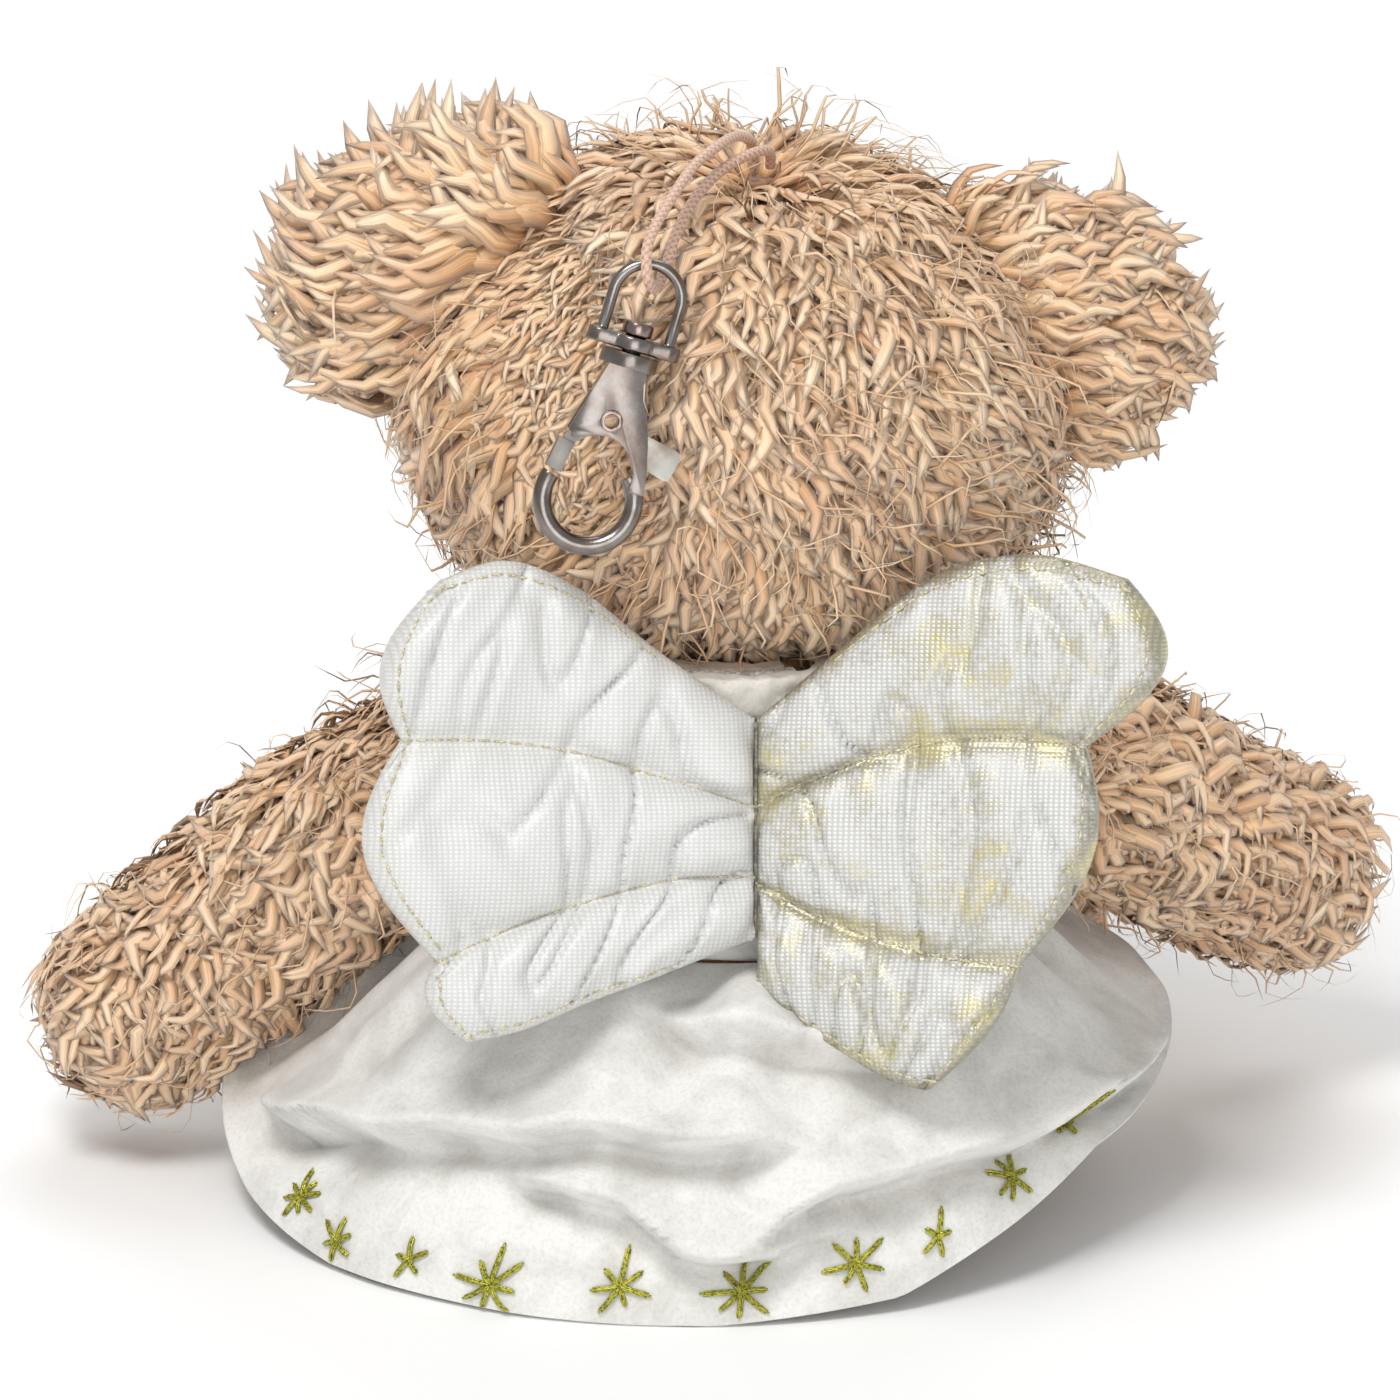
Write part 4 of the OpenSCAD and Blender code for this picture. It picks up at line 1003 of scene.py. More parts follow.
class BEAR_OT_cord(bpy.types.Operator):
    """Braids the hanging cord along its route"""
    bl_idname = "bear.cord"
    bl_label = "Cord"

    def execute(self, context):
        values = context.scene.bear_clasp
        line = smooth_line(np.array(CORD_ROUTE) * MM, 0.16 * MM)
        steps = np.linalg.norm(np.diff(line, axis=0), axis=1)
        run = np.concatenate([[0], np.cumsum(steps)])
        sides = 14
        turns = np.linspace(0, 2 * math.pi, sides, endpoint=False)
        # Two sets of strands wind opposite ways, each a rounded ridge, and pass over each other in turn.
        lay = 2 * math.pi * run[:, None] / (1.9 * MM)
        one = np.abs(np.cos(2 * turns[None, :] + lay))
        other = np.abs(np.cos(2 * turns[None, :] - lay))
        over = np.cos(4 * turns[None, :]) * np.cos(2 * lay) * 0.5 + 0.5
        height = np.maximum(one * (0.6 + 0.4 * over), other * (1 - 0.4 * over))
        radius = values.cord_diameter / 2 * (0.84 + 0.16 * height)
        points, faces = tube(line, radius, sides)
        made = piece("hanging_cord", points, faces, material(braided_nylon, "Nylon cord, braided"))
        # The braid's height is kept for its painted shade and painted highlight.
        strand = np.concatenate([height.ravel(), [0.5, 0.5]])
        made.data.attributes.new("strand", "FLOAT", "POINT").data.foreach_set("value", strand)
        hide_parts("cord_loop")
        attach(made, "cord")
        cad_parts["cord_knot"].data.materials.clear()
        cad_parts["cord_knot"].data.materials.append(material(braided_nylon, "Nylon cord, braided"))
        return {"FINISHED"}


class BEAR_OT_head(bpy.types.Operator):
    """Makes the stuffed head and grows its long pile"""
    bl_idname = "bear.head"
    bl_label = "Head"

    def execute(self, context):
        values = context.scene.bear_pile
        backing = material(pile_backing, "Polyester knit, pile backing")
        coat = material(acrylic_pile, "Acrylic pile, long")
        skin = piece("head_fabric", *egg(HEAD_CENTRE, HEAD_HALF, HEAD_ROLL), backing)
        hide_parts("head_left_panel", "head_right_panel", "head_stuffing")
        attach(skin, "bear")
        quarters = {
            "back_left": (LEFT, True), "back_right": (RIGHT, True),
            "front_left": (LEFT, False), "front_right": (RIGHT, False),
        }
        for number, (name, (side, back)) in enumerate(quarters.items()):
            def cover(point, normal, side=side, back=back):
                p = from_head(point)
                here = (p.x > 0) == (side > 0) and (p.y < -2 * MM) == back
                return head_cover(point, normal) if here else 0.0
            grow(f"head_pile_{name}", skin, "bear", head_lay, cover, values.head_length,
                 values.head_spacing * (1.0 if back else 1.25), LONG_LOCKS, coat, seed=number,
                 pressed=pressed_by_clasp)
        grow("head_stray_strands", skin, "bear", head_lay, stray_cover,
             values.head_length * 1.05, values.head_spacing * 3.2, FINE_STRANDS, coat, seed=20,
             tilt=0.5, turn=0.8)
        return {"FINISHED"}


class BEAR_OT_ears(bpy.types.Operator):
    """Makes both ears, with long pile at the back and short pile inside"""
    bl_idname = "bear.ears"
    bl_label = "Ears"

    def execute(self, context):
        values = context.scene.bear_pile
        backing = material(pile_backing, "Polyester knit, pile backing")
        long_coat = material(acrylic_pile, "Acrylic pile, long")
        short_coat = material(acrylic_pile, "Acrylic pile, clipped", 0.45)
        for side, word in ((LEFT, "left"), (RIGHT, "right")):
            centre = in_head(*EAR_PLACES[side])
            skin = piece(f"{word}_ear_fabric", *egg(centre, EAR_HALF, HEAD_ROLL, 28, 48), backing)
            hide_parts(f"{word}_ear_back", f"{word}_ear_front")
            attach(skin, "bear")
            grow(f"{word}_ear_pile", skin, "bear", ear_lay(side), ear_cover(True),
                 values.head_length * (1.12 if side < 0 else 0.88), values.head_spacing, LONG_LOCKS,
                 long_coat, seed=30 + side)
            grow(f"{word}_ear_inner_pile", skin, "bear", ear_lay(side), ear_cover(False),
                 values.muzzle_length * 1.3, values.limb_spacing, CURLED_LOCKS, short_coat, seed=40 + side)
        return {"FINISHED"}


class BEAR_OT_face(bpy.types.Operator):
    """Makes the muzzle with clipped pile, the nose, the mouth and the eyes"""
    bl_idname = "bear.face"
    bl_label = "Face"

    def execute(self, context):
        values = context.scene.bear_pile
        backing = material(pile_backing, "Polyester knit, muzzle", "#D9B994")
        coat = material(acrylic_pile, "Acrylic pile, clipped", 0.45)
        skin = piece("muzzle_fabric", *egg(in_head(*MUZZLE_PLACE), MUZZLE_HALF, HEAD_ROLL, 26, 44), backing)
        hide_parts("muzzle", "muzzle_stuffing")
        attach(skin, "bear")
        low, high = node_box("nose")
        mouth_low, mouth_high = node_box("mouth_stitching")

        def lay(point, normal):
            p = from_head(point) - MUZZLE_PLACE
            swirl = 0.5 * wander(point, 5 * MM, 4)
            return turned_lay(Vector((p.x * 1.4, -2 * MM, p.z - 2 * MM)), normal, swirl)

        def cover(point, normal):
            p = from_head(point)
            inside = all(low[i] - 0.6 * MM < point[i] < high[i] + 0.6 * MM for i in (0, 2))
            under_nose = inside and point.y > low[1] - 2 * MM
            level = mouth_low[2] < point.z < mouth_high[2] and abs(p.x) < 0.9 * MM
            under_mouth = level and point.y > mouth_low[1] - 2 * MM
            return 0.0 if under_nose or under_mouth or depth_in(p, HEAD_HALF) < 1.01 else 1.0

        grow("muzzle_pile", skin, "bear", lay, cover, values.muzzle_length,
             values.limb_spacing * 0.85, CURLED_LOCKS, coat, seed=50)
        black = material(moulded_plastic, "ABS, moulded black", "#15110F", 0.14)
        white = material(moulded_plastic, "Polypropylene, moulded white", "#E8E6E0", 0.4)
        for node in ("nose", "left_eye", "right_eye"):
            polished(f"{node}_moulding", node, black, "bear")
        for node in ("left_eye_washer", "right_eye_washer"):
            polished(f"{node}_moulding", node, white, "bear", 0.1 * MM)
        thread = material(spun_thread, "Polyester thread, dark", "#2A1B14")
        polished("mouth_thread", "mouth_stitching", thread, "bear")
        return {"FINISHED"}


class BEAR_OT_body(bpy.types.Operator):
    """Makes the stuffed body and the pile that shows below the dress"""
    bl_idname = "bear.body"
    bl_label = "Body"

    def execute(self, context):
        values = context.scene.bear_pile
        backing = material(pile_backing, "Polyester knit, pile backing")
        skin = cloth_copy("body_fabric", ["body_stuffing"], backing, 1.3 * MM, passes=2, swell=1.0 * MM,
                          wrinkle=0.15 * MM)
        for vertex in skin.data.vertices:
            vertex.co.z = max(vertex.co.z, 0.0)
        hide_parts("body_skin", "body_stuffing")
        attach(skin, "bear")

        def lay(point, normal):
            return turned_lay(Vector((0, 0.2, -1)), normal, 0.8 * wander(point, 6 * MM, 3))

        def cover(point, normal):
            below_dress = point.y > 8 * MM and 4 * MM < point.z < 34 * MM
            return 1.0 if below_dress and abs(point.x) < 14 * MM else 0.0

        coat = material(acrylic_pile, "Acrylic pile, curled", 0.12)
        grow("body_pile", skin, "bear", lay, cover, values.limb_length * 0.7,
             values.limb_spacing, CURLED_LOCKS, coat, seed=60)
        return {"FINISHED"}


def furred_limb(word, kind, start, run, r0, r1, seed, fits=None):
    """A stuffed limb with curled pile that rides on its own body."""
    values = bpy.context.scene.bear_pile
    name = f"{word}_{kind}"
    points, faces = limb(start, run, r0, r1)
    if fits:
        points = fits(points)
    skin = piece(f"{name}_fabric", points, faces, material(pile_backing, "Polyester knit, pile backing"))
    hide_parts(f"{name}_skin", f"{name}_stuffing")
    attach(skin, name)
    axis = Vector(run).normalized()
    length = Vector(run).length

    def lay(point, normal):
        swirl = 0.9 * wander(point, 6 * MM, seed) + 0.7 * wander(point, 3 * MM, seed + 1)
        return turned_lay(axis + Vector((0, 0, -0.35)), normal, swirl)

    def cover(point, normal):
        along = (point - Vector(start)).dot(axis)
        if along < 3 * MM and (kind == "leg" or abs(point.x) < 27 * MM):
            return 0.0
        if kind == "leg" and along > length + 4 * MM and normal.y > 0.8:
            return 0.0
        return 0.0 if point.z < 1.5 * MM and normal.z < -0.5 else 1.0

    def shorter(point):
        return min(1.0, max(0.45, (point - Vector(start)).dot(axis) / (12 * MM)))

    coat = material(acrylic_pile, "Acrylic pile, curled", 0.12)
    grow(f"{name}_pile", skin, name, lay, cover, values.limb_length, values.limb_spacing,
         CURLED_LOCKS, coat, seed=seed, tilt=0.28, turn=0.32, pressed=shorter)
    grow(f"{name}_stray_strands", skin, name, lay, cover, values.limb_length * 1.15,
         values.limb_spacing * 4, FINE_STRANDS, coat, seed=seed + 3, tilt=0.5, turn=0.9)


class BEAR_OT_arms(bpy.types.Operator):
    """Makes both stuffed arms with curled pile"""
    bl_idname = "bear.arms"
    bl_label = "Arms"

    def execute(self, context):
        for side, word in ((LEFT, "left"), (RIGHT, "right")):
            furred_limb(word, "arm", SHOULDERS[side], ARM_RUNS[side], SHOULDER_R, PAW_R, 70 + side)
        return {"FINISHED"}


class BEAR_OT_legs(bpy.types.Operator):
    """Makes both stuffed legs with curled pile and their velour soles"""
    bl_idname = "bear.legs"
    bl_label = "Legs"

    def execute(self, context):
        for side, word in ((LEFT, "left"), (RIGHT, "right")):
            start = np.array(HIP) * (side, 1, 1)
            run = np.array(FOOT) * (side, 1, 1) - start
            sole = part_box(f"{word}_sole")[0].y

            def fits(points, sole=sole):
                points[:, 1] = np.minimum(points[:, 1], sole - 0.1 * MM)
                points[:, 2] = np.maximum(points[:, 2], 0)
                return points

            furred_limb(word, "leg", start, run, HIP_R, HIP_R, 80 + side, fits)
            cloth = material(velour, "Velour, foot sole", "#E9D3B4")
            made = cloth_copy(f"{word}_sole_velour", [f"{word}_sole"], cloth, 0.5 * MM, passes=2,
                              wrinkle=0.12 * MM, scale=3 * MM)
            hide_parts(f"{word}_sole")
            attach(made, f"{word}_leg")
        return {"FINISHED"}


# ---- Dress ----

HEM_HEIGHTS = [
    (-180, 27), (-150, 27), (-125, 22), (-90, 10), (-70, 4), (-50, 1), (0, 0),
    (25, 2), (40, 7.5), (57, 14), (90, 19), (125, 24), (150, 27), (180, 27),
]
# Each fold's depth share, and its lip as angles round the skirt and places down it
FOLDS = (
    (1.25, (-84, -63, -42, -18, -5, 14), (0.86, 0.67, 0.59, 0.54, 0.54, 0.57)),
    (1.15, (2, 10, 17, 26, 40, 59, 86), (0.80, 0.705, 0.665, 0.645, 0.705, 0.81, 0.96)),
    (0.95, (-34, -20, -12, -3, 9, 20), (0.66, 0.645, 0.68, 0.775, 0.80, 0.74)),
    (0.9, (-16, -8, 4, 15, 40), (0.24, 0.275, 0.32, 0.34, 0.42)),
)
WAIST_Z = 36.0
SKIRT_HALF_WIDTH = 55.0
SKIRT_BACK = 49.0
SKIRT_FRONT = 36.0
SKIRT_CENTRE = (-4.4, -4.0)


def skirt_profile(angle, share):
    """Radius to the side, radius to the back or front, and height of the skirt, in millimetres."""
    hem = np.interp(angle, *zip(*HEM_HEIGHTS))
    reach = SKIRT_BACK if abs(angle) < 90 else SKIRT_FRONT
    full = max(0.0, math.cos(math.radians(angle))) ** 0.7
    quarter = math.radians(90 * share)
    out = full * math.sin(quarter) + (1 - full) * share
    drop = full * max(0.0, math.cos(quarter)) ** 1.4 + (1 - full) * (1 - share) ** 1.25
    top = 26 * math.sqrt(1 - ((WAIST_Z - 32) / 40) ** 2) + 1.4
    return (top + (SKIRT_HALF_WIDTH - top) * out, top + (reach - top) * out, hem + (WAIST_Z - hem) * drop)


def crease(angle, share):
    """How far the cloth stands in or out at a place, as a share of the fold depth."""
    found = 0.0
    for depth, angles, places in FOLDS:
        ends = min(1.0, max(0.0, angle - angles[0]) / 13) * min(1.0, max(0.0, angles[-1] - angle) / 13)
        if ends <= 0:
            continue
        # The cloth swells down to its lip, drops in sharply under it, and comes out again slowly.
        gap = share - np.interp(angle, angles, places) - 0.008 * math.sin(angle * 0.3 + places[0] * 40)
        fade = math.exp(-abs(gap) / (0.11 if gap < 0 else 0.075))
        found -= depth * ends * ends * (3 - 2 * ends) * fade * math.tanh(gap / 0.014)
    gather = 0.35 * math.sin(math.radians(angle * 13)) + 0.25 * math.sin(math.radians(angle * 21 + 50))
    found += gather * (1 - share) ** 1.5
    return found


def skirt_point(angle, share, inset=0.0, depth=5.2):
    """A point of the skirt in metres, inset inwards from its outside."""
    p = skirt_profile(angle, share)
    a = skirt_profile(angle, max(0, share - 0.02))
    b = skirt_profile(angle, min(1, share + 0.02))
    run = math.hypot(b[0] - a[0], b[1] - a[1]) / math.sqrt(2)
    fall = a[2] - b[2]
    slope = math.hypot(fall, run)
    stand = depth * crease(angle, share) * min(1.0, share * 6) - inset
    rx, ry = p[0] + stand * fall / slope, p[1] + stand * fall / slope
    turn = math.radians(angle)
    lumps = 0.5 * noise.noise(Vector((angle / 14, share * 5, 0))) * share
    z = p[2] + (stand + lumps) * run / slope
    return Vector((
        SKIRT_CENTRE[0] * share + (rx + lumps) * math.sin(turn),
        SKIRT_CENTRE[1] - (ry + lumps) * math.cos(turn),
        max(0.15, z))) * MM


class BEAR_OT_dress(bpy.types.Operator):
    """Makes the bodice and the gathered skirt with its folds"""
    bl_idname = "bear.dress"
    bl_label = "Dress"

    def execute(self, context):
        values = context.scene.bear_dress
        cloth = material(velour, "Velour, brushed white")
        around, down = 252, 110
        thick = values.fabric_thickness / MM
        depth = values.fold_depth / MM
        angles = np.linspace(-180, 180, around, endpoint=False)
        walls = []
        for inset in (0.0, thick):
            walls.append(np.array([[list(skirt_point(a, i / down, inset, depth)) for a in angles]
                                   for i in range(down + 1)]))
        points, faces = two_sided(*walls, closed=True)
        skirt = piece("dress_skirt_velour", points, faces, cloth)
        hem = sum((skirt_point(a, 1) - skirt_point(b, 1)).length for a, b in zip(angles, np.roll(angles, 1)))
        fall = sum((skirt_point(-30, (i + 1) / 40) - skirt_point(-30, i / 40)).length for i in range(40))
        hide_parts("dress_skirt")
        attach(skirt, "bear")
        bodice = cloth_copy("dress_bodice_velour", ["dress_bodice"], cloth, 0.55 * MM, passes=2,
                            wrinkle=0.15 * MM, scale=6 * MM)
        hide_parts("dress_bodice")
        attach(bodice, "bear")
        for word, code in (("left", "#DCC8B4"), ("right", "#EFEBE4")):
            band = cloth_copy(f"neckband_{word}_velour", [f"neckband_{word}"],
                              material(velour, f"Velour, neckband {word}", code),
                              0.42 * MM, passes=1, wrinkle=0.35 * MM, scale=1.6 * MM, seed=3)
            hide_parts(f"neckband_{word}")
            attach(band, "bear")
        for node, scale in (("fastener_hooks", 0.5 * MM), ("fastener_loops", 0.35 * MM)):
            tape = material(nylon_tape, f"Nylon, woven {node[9:]}", "#EFECE6", scale)
            polished(f"{node}_tape", node, tape, "bear")
        return {"FINISHED"}


# ---- Thread and stitches ----

def thread_tree():
    """Turns lines into closed threads of one radius."""
    tree, sockets = node_group("Thread along lines", {
        "Lines": "Geometry", "Radius": "Float", "Sides": "Int", "Material": "Material"}, "Threads")
    given = add(tree, "NodeGroupInput").outputs
    line = add(tree, "GeometryNodeMeshToCurve", {"Mesh": given["Lines"]})
    profile = add(tree, "GeometryNodeCurvePrimitiveCircle", {
        "Resolution": given["Sides"], "Radius": given["Radius"]})
    solid = add(tree, "GeometryNodeCurveToMesh", {
        "Curve": line.outputs[0], "Profile Curve": profile.outputs[0], "Fill Caps": True})
    real = add(tree, "GeometryNodeRealizeInstances", {0: solid.outputs[0]})
    soft = add(tree, "GeometryNodeSetShadeSmooth", {"Geometry": real.outputs[0], "Shade Smooth": True})
    coloured = add(tree, "GeometryNodeSetMaterial", {
        "Geometry": soft.outputs[0], "Material": given["Material"]})
    add(tree, "NodeGroupOutput", {0: coloured.outputs[0]})
    return tree, sockets


def stitch_tree():
    """Repeats one stitch along lines at an even pitch."""
    tree, sockets = node_group("Stitches along lines", {
        "Lines": "Geometry", "Pitch": "Float", "Length": "Float", "Radius": "Float",
        "Material": "Material"}, "Stitches")
    given = add(tree, "NodeGroupInput").outputs
    line = add(tree, "GeometryNodeMeshToCurve", {"Mesh": given["Lines"]})
    even = add(tree, "GeometryNodeResampleCurve", {
        "Curve": line.outputs[0], "Length": given["Pitch"]}, mode="LENGTH")
    form = add(tree, "GeometryNodeMeshUVSphere", {"Segments": 6, "Rings": 6, "Radius": given["Radius"]})
    half = add(tree, "ShaderNodeMath", {0: given["Length"], 1: 0.5}, operation="MULTIPLY")
    stretch = add(tree, "ShaderNodeMath", {0: half.outputs[0], 1: given["Radius"]}, operation="DIVIDE")
    scale = add(tree, "ShaderNodeCombineXYZ", {0: stretch.outputs[0], 1: 1.0, 2: 1.0})
    heading = add(tree, "GeometryNodeInputTangent")
    rotation = add(tree, "FunctionNodeAlignRotationToVector", {"Vector": heading.outputs[0]}, axis="X")
    stitches = add(tree, "GeometryNodeInstanceOnPoints", {
        "Points": even.outputs[0], "Instance": form.outputs[0], "Rotation": rotation.outputs[0],
        "Scale": scale.outputs[0]})
    real = add(tree, "GeometryNodeRealizeInstances", {0: stitches.outputs[0]})
    soft = add(tree, "GeometryNodeSetShadeSmooth", {"Geometry": real.outputs[0], "Shade Smooth": True})
    coloured = add(tree, "GeometryNodeSetMaterial", {
        "Geometry": soft.outputs[0], "Material": given["Material"]})
    add(tree, "NodeGroupOutput", {0: coloured.outputs[0]})
    return tree, sockets


def sewn(name, lines, body, maker, **inputs):
    """A plain mesh of threads or stitches along lines of points in metres."""
    if maker.__name__ not in MADE:
        MADE[maker.__name__] = maker()
    tree, sockets = MADE[maker.__name__]
    points, edges = [], []
    for line in lines:
        edges += [(len(points) + i, len(points) + i + 1) for i in range(len(line) - 1)]
        points += [list(p) for p in line]
    mesh = bpy.data.meshes.new(name)
    mesh.from_pydata(points, edges, [])
    made = bpy.data.objects.new(name, mesh)
    bpy.context.scene.collection.objects.link(made)
    follow = made.modifiers.new("sewing", "NODES")
    follow.node_group = tree
    for key, value in inputs.items():
        follow[sockets[key]] = value
    made.data.update()
    settled(made)
    outward(made.data)
    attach(made, body)
    return made


# Each star: its angle round the skirt, its place down it, its size in millimetres, its arms and its turn
STARS = (
    (-60, 0.86, 5.5, 8, 10), (-50, 0.9, 5, 6, 25), (-38, 0.88, 4.5, 5, 40), (-26, 0.9, 7.5, 8, 5),
    (-10, 0.86, 6.5, 7, 15), (5, 0.88, 7.5, 8, 2), (19, 0.84, 6.5, 7, 20), (30, 0.84, 4.5, 5, 8),
    (43, 0.82, 6, 7, 12), (56, 0.82, 4, 5, 30),
)


def on_skirt(angle, share, across, down, lift, depth):
    """A point that lies on the skirt at a distance in millimetres from a place on it."""
    here = skirt_point(angle, share, 0, depth)
    round_step = (skirt_point(angle + 1, share, 0, depth) - here).length / MM
    down_step = (skirt_point(angle, min(1, share + 0.01), 0, depth) - here).length / MM
    a, s = angle + across / round_step, min(0.99, share + 0.01 * down / down_step)
    spot = skirt_point(a, s, 0, depth)
    east = skirt_point(a + 1, s, 0, depth) - skirt_point(a - 1, s, 0, depth)
    south = skirt_point(a, s + 0.01, 0, depth) - skirt_point(a, s - 0.01, 0, depth)
    normal = south.cross(east).normalized()
    if normal.dot(Vector((math.sin(math.radians(a)), -math.cos(math.radians(a)), 0.2))) < 0:
        normal = -normal
    return spot + normal * lift * MM


class BEAR_OT_stars(bpy.types.Operator):
    """Embroiders the stars on the skirt in metallic thread"""
    bl_idname = "bear.stars"
    bl_label = "Stars"

    def execute(self, context):
        values = context.scene.bear_dress
        depth = values.fold_depth / MM
        lines = []
        for angle, share, width, arms, turn in STARS:
            for arm in range(arms):
                heading = math.radians(turn + 360 * arm / arms)
                uneven = 0.5 + 0.12 * math.sin(arm * 2.3 + angle)
                for strand in (-1, 0, 1):
                    side = strand * 0.19
                    line = []
                    for f in (0.0, 0.25, 0.5, 0.75, 1.0):
                        r = width * uneven * (0.04 + f * (1 - 0.1 * abs(strand)))
                        x = r * math.cos(heading) - side * math.sin(heading)
                        y = r * math.sin(heading) + side * math.cos(heading)
                        lift = 0.16 + 0.24 * math.sin(math.pi * f) + 0.12 * (strand == 0)
                        line.append(on_skirt(angle, share, x, y, lift, depth))
                    lines.append(line)
        thread = material(spun_thread, "Lurex thread, green gold", tuple(values.thread), 1.0)
        made = sewn("star_threads", lines, "bear", thread_tree, Radius=values.thread_radius, Sides=6,
                    Material=thread)
        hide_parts("star_embroidery")
        return {"FINISHED"}


# ---- Wings ----

SEAM_FOOT = Vector((2.3, -36.5, 41)) * MM
SEAM_TILT = math.radians(18.4)
WING_SWEEP = math.radians(14)
ROOT_GAP = 0.35
# A wing's top edge, two sewn lines and bottom edge, from its root: distance from the seam and height
WING_LINES = {
    LEFT: [[[0, 25], [11.5, 33.5], [20, 40], [28, 43], [35.5, 40.8]],
           [[0, 15], [12, 19], [21, 21.5], [30.5, 22.7], [40, 22.8]],
           [[0, 7], [8, 6.9], [17, 4.9], [26.5, 1.9], [36, -2.2]],
           [[0, 0], [10, -4], [18, -6.8], [26, -10], [32.5, -11.3]]],
    RIGHT: [[[0, 25], [9, 33], [20, 41.3], [31, 43.7], [42, 41]],
            [[0, 15], [9, 19.4], [18, 22], [28, 23], [37.3, 22]],
            [[0, 6.2], [6, 2.8], [13, 0.2], [21, -1.9], [29.5, -2.8]],
            [[0, -5.5], [5, -10], [10, -13.3], [14.5, -15.8], [19, -17]]],
}
WING_BULGES = {LEFT: (4.5, 6.4, 2.8), RIGHT: (6.8, 4.6, 2)}
WING_PAD = 8.4
WING_EDGE = 1.6


def along(points, share):
    """A point of a smooth curve through a list of points."""
    points = np.asarray(points, float)
    last = len(points) - 1
    at = min(share * last, last - 0.0001)
    i = int(at)
    f = at - i
    a, b, c, d = points[max(i - 1, 0)], points[i], points[i + 1], points[min(i + 2, last)]
    return 0.5 * (2 * b + (c - a) * f + (2 * a - 5 * b + 4 * c - d) * f * f
                  + (3 * b - a - 3 * c + d) * f ** 3)


def wing_place(side, span, row):
    """Distance from the seam and height of a place on a wing, in millimetres."""
    lobe = min(2, int(row))
    f = row - lobe
    lines = WING_LINES[side]
    p = along(lines[lobe], span) * (1 - f) + along(lines[lobe + 1], span) * f
    near_root = max(0.0, 1 - span / 0.2)
    bulge = WING_BULGES[side][lobe] * math.sin(math.pi * f) * span ** 3
    return np.array([1.1 - (1.1 - ROOT_GAP) * near_root + p[0] + bulge, p[1]])


def wing_half_thickness(span, row):
    f = row - int(min(2.9999, row))
    across = max(0.0, math.sin(math.pi * f)) ** 0.5
    step = [min(1.0, max(0.0, x)) for x in (span / 0.14, (1 - span) / 0.11)]
    ends = math.prod(math.sqrt(1 - (1 - x) ** 2) for x in step)
    edge = WING_EDGE * (0.3 + 0.7 * min(1.0, span / 0.05))
    return (edge + (WING_PAD - WING_EDGE) * across * ends) / 2


def wing_ripple(side, face, span, row):
    """Pulls in the cloth, and creases that leave a sewn line at right angles."""
    f = row - int(min(2.9999, row))
    near = max(0.0, 1 - 2.2 * min(f, 1 - f))
    fine = noise.noise(Vector((span * 13 + 3 * side, row * 1.1, 5 * face)))
    broad = noise.noise(Vector((span * 5.5 - 2 * row, row * 0.9 + 4, 7 * face + side)))
    slant = noise.noise(Vector(((span - 0.14 * row) * 6, (row + span) * 0.9, 3 * face + 2 * side)))
    crease = max(0.0, 1 - abs(slant) / 0.13) ** 1.5
    return 0.7 * fine * near + 0.9 * broad - 1.1 * crease + 0.5 * slant


def from_wing(side, x, y, z):
    """A point of a wing's own frame, in millimetres, put in the shared frame."""
    c, s = math.cos(WING_SWEEP), math.sin(WING_SWEEP)
    p = Vector((side * (x * c + y * s), y * c - x * s, z))
    c, s = math.cos(SEAM_TILT), math.sin(SEAM_TILT)
    return SEAM_FOOT + Vector((p.x, p.y * c + p.z * s, p.z * c - p.y * s)) * MM


def wing_point(side, face, span, row, ripple, lift=0.0):
    """A point on one face of a wing, in the shared frame."""
    x, z = wing_place(side, span, row)
    half = wing_half_thickness(span, row)
    room = min(1.0, (half - WING_EDGE / 2) / 1.2)
    swell = half + ripple * wing_ripple(side, face, span, row) * room - 0.25 * ripple * room
    return from_wing(side, x, face * (swell + lift), z)


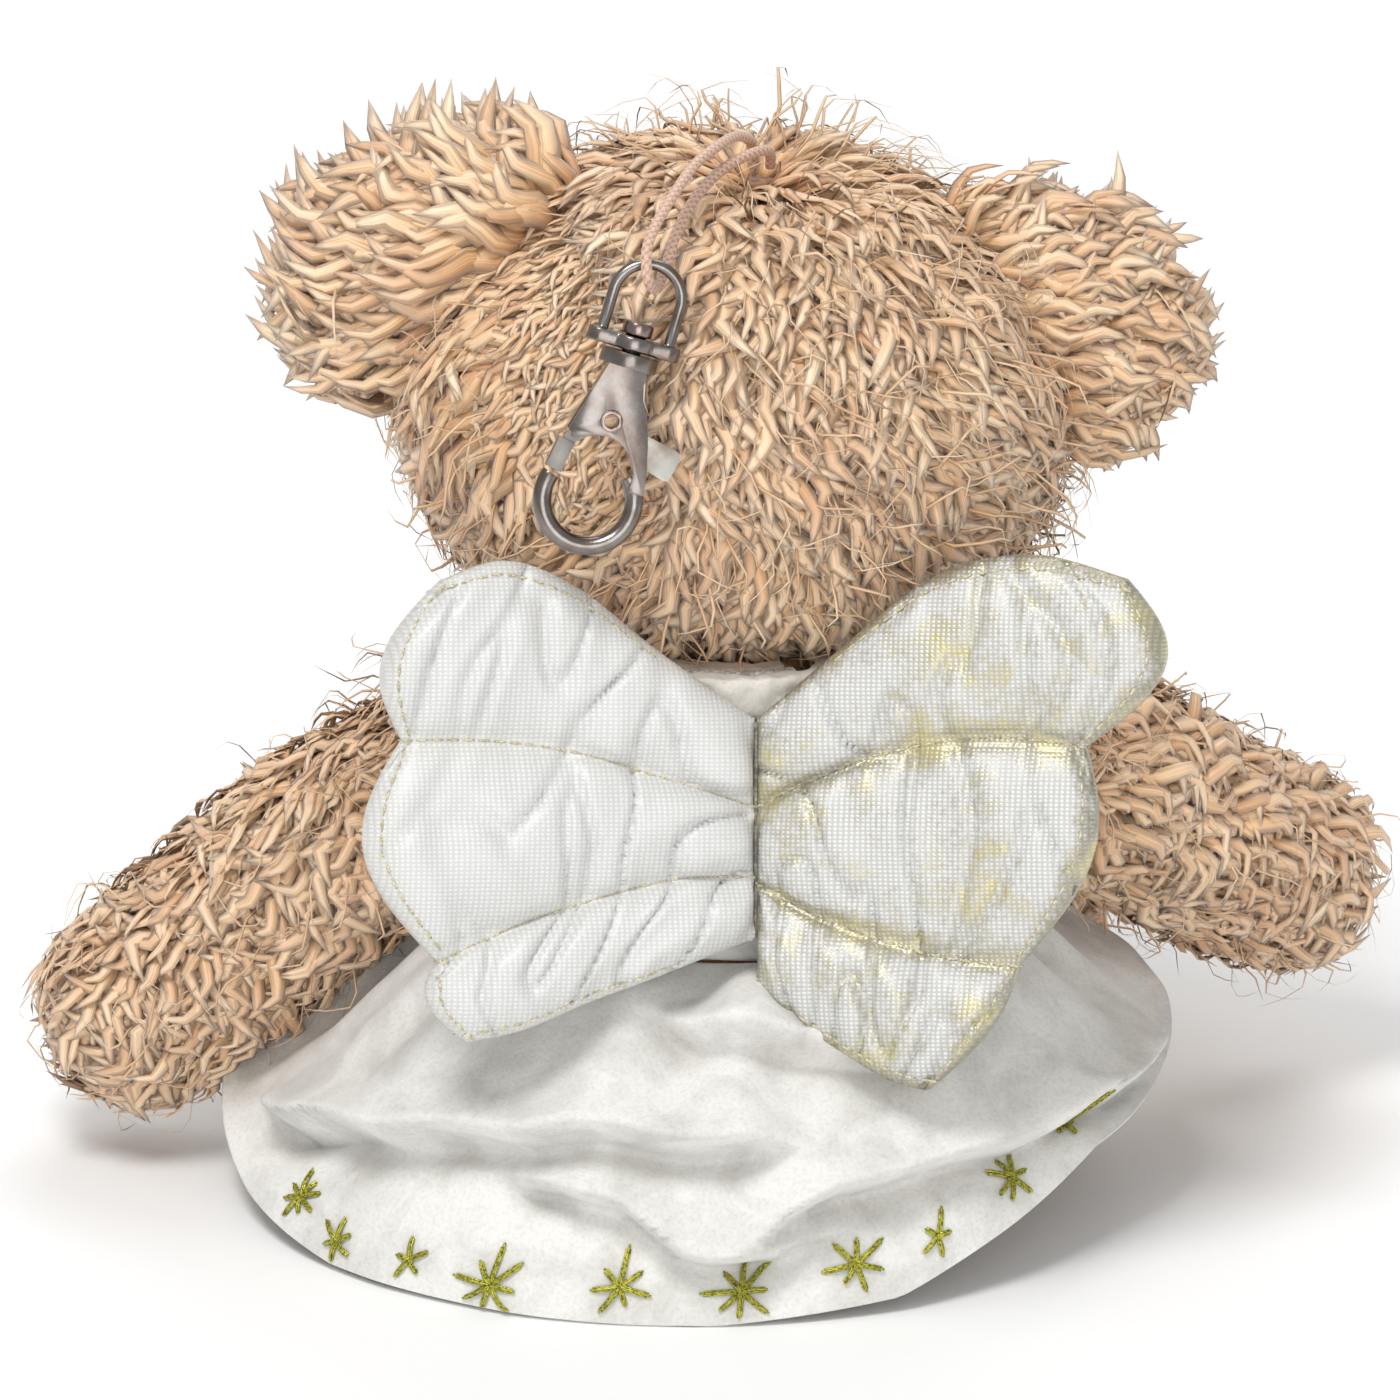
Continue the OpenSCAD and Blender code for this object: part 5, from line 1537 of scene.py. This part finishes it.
class BEAR_OT_wings(bpy.types.Operator):
    """Makes the two quilted wings with their stitches, and the seam tape between them"""
    bl_idname = "bear.wings"
    bl_label = "Wings"

    def execute(self, context):
        values = context.scene.bear_wing
        ripple = values.wrinkle / MM
        spans, rows = 72, 66
        for side, word, cover in ((LEFT, "left", material(pearl_knit, "Nylon warp knit, pearl film")),
                                  (RIGHT, "right", material(foil_knit, "Nylon warp knit, worn gold foil"))):
            faces_of = {}
            shares = [i / spans for i in range(spans + 1)]
            places = [3 * j / rows for j in range(rows + 1)]
            for face in (-1, 1):
                faces_of[face] = np.array([[list(wing_point(side, face, s, r, ripple)) for r in places]
                                           for s in shares])
            points, faces = two_sided(faces_of[-1], faces_of[1], closed=False)
            made = piece(f"{word}_wing_padding", points, faces, cover)
            flat = np.array([[wing_place(side, s, r) for r in places] for s in shares]).reshape(-1, 2)
            flat = np.concatenate([flat, flat]) * MM
            layer = made.data.uv_layers.new(name="cloth")
            for loop in made.data.loops:
                layer.data[loop.index].uv = flat[loop.vertex_index]
            seam = np.array([[max(1 - abs(r - round(r)) * 9, 1 - (1 - s) * 14, 1 - s * 22, 0)
                              for r in places] for s in shares]).ravel()
            made.data.attributes.new("seam", "FLOAT", "POINT").data.foreach_set(
                "value", np.concatenate([seam, seam]) * 0.26)
            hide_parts(f"{word}_wing_back", f"{word}_wing_front", f"{word}_wing_batting")
            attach(made, f"{word}_wing")
            lines = []
            for face in (-1, 1):
                for row in (1, 2):
                    lines.append([wing_point(side, face, s, row, 0, 0.12)
                                  for s in np.linspace(0.01, 0.985, 50)])
                for row in (0.075, 2.925):
                    lines.append([wing_point(side, face, s, row, ripple, 0.1)
                                  for s in np.linspace(0.25, 0.97, 40)])
                for first in (0, 1, 2):
                    lines.append([wing_point(side, face, 0.965, first + f, ripple, 0.1)
                                  for f in np.linspace(0.06, 0.94, 24)])
            thread = material(spun_thread, "Polyester thread, cream", tuple(values.thread))
            stitches = sewn(f"{word}_wing_stitches", lines, f"{word}_wing", stitch_tree,
                            Pitch=values.stitch_pitch, Length=values.stitch_length, Radius=0.17 * MM,
                            Material=thread)
        webbing = material(nylon_tape, "Nylon, woven tape", "#E5E2DA", 0.6 * MM)
        tape = cloth_copy("wing_seam_webbing", ["wing_seam_tape"], webbing, 0.25 * MM, passes=1)
        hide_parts("wing_seam_tape")
        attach(tape, "bear")
        return {"FINISHED"}


class BEAR_OT_clasp(bpy.types.Operator):
    """Finishes the swivel clasp's plated and stamped metal parts"""
    bl_idname = "bear.clasp"
    bl_label = "Clasp"

    def execute(self, context):
        values = context.scene.bear_clasp
        metal = tuple(values.metal)
        bright = material(plated_zinc, "Zinc, plated gunmetal nickel", metal, 0.2)
        warm = material(plated_zinc, "Brass, turned and nickel plated", "#9C908B", 0.2)
        satin = material(plated_zinc, "Steel sheet, stamped", "#BDBCB4", 0.36)
        rivet_low, rivet_high = node_box("gate_rivet")
        # The lever is coloured darker left of its rivet.
        lever = material(plated_zinc, "Steel sheet, stamped and part plated", "#BDBCB4", 0.36,
                         float(rivet_low[0] + rivet_high[0]) / 2)
        for name, node, body, finish_of, bevel in (
            ("swivel_eye_casting", "swivel_eye", "swivel", bright, values.edge_radius),
            ("swivel_post_turning", "swivel_post", "clasp_hook", warm, values.edge_radius),
            ("hook_casting", "hook_body", "clasp_hook", bright, values.edge_radius),
            ("gate_stamping", "gate_lever", "gate", lever, 0.08 * MM),
            ("gate_rivet_tube", "gate_rivet", "clasp_hook", warm, 0.05 * MM),
            ("gate_spring_wire", "gate_spring", "clasp_hook", satin, 0.0),
        ):
            made = polished(name, node, finish_of, body, bevel)
        return {"FINISHED"}


STEPS = (
    BEAR_OT_stage, BEAR_OT_cord, BEAR_OT_head, BEAR_OT_ears, BEAR_OT_face, BEAR_OT_body, BEAR_OT_arms,
    BEAR_OT_legs, BEAR_OT_dress, BEAR_OT_stars, BEAR_OT_wings, BEAR_OT_clasp,
)


class BEAR_PT_steps(bpy.types.Panel):
    """Lists the steps that make the bear, and their sizes and colours"""
    bl_idname = "BEAR_PT_steps"
    bl_label = "Plush bear"
    bl_space_type = "VIEW_3D"
    bl_region_type = "UI"
    bl_category = "Plush bear"

    def draw(self, context):
        for step in STEPS:
            self.layout.operator(step.bl_idname)
        for name, group in SETTINGS.items():
            box = self.layout.box()
            for key in group.__annotations__:
                box.prop(getattr(context.scene, name), key)


def register():
    for kind in (*SETTINGS.values(), *STEPS, BEAR_PT_steps):
        bpy.utils.register_class(kind)
    for name, group in SETTINGS.items():
        setattr(bpy.types.Scene, name, bpy.props.PointerProperty(type=group))


def unregister():
    for name in SETTINGS:
        delattr(bpy.types.Scene, name)
    for kind in (BEAR_PT_steps, *reversed(STEPS), *SETTINGS.values()):
        bpy.utils.unregister_class(kind)


def main():
    register()
    for step in STEPS:
        group, name = step.bl_idname.split(".")
        getattr(getattr(bpy.ops, group), name)()


if __name__ == "__main__":
    main()
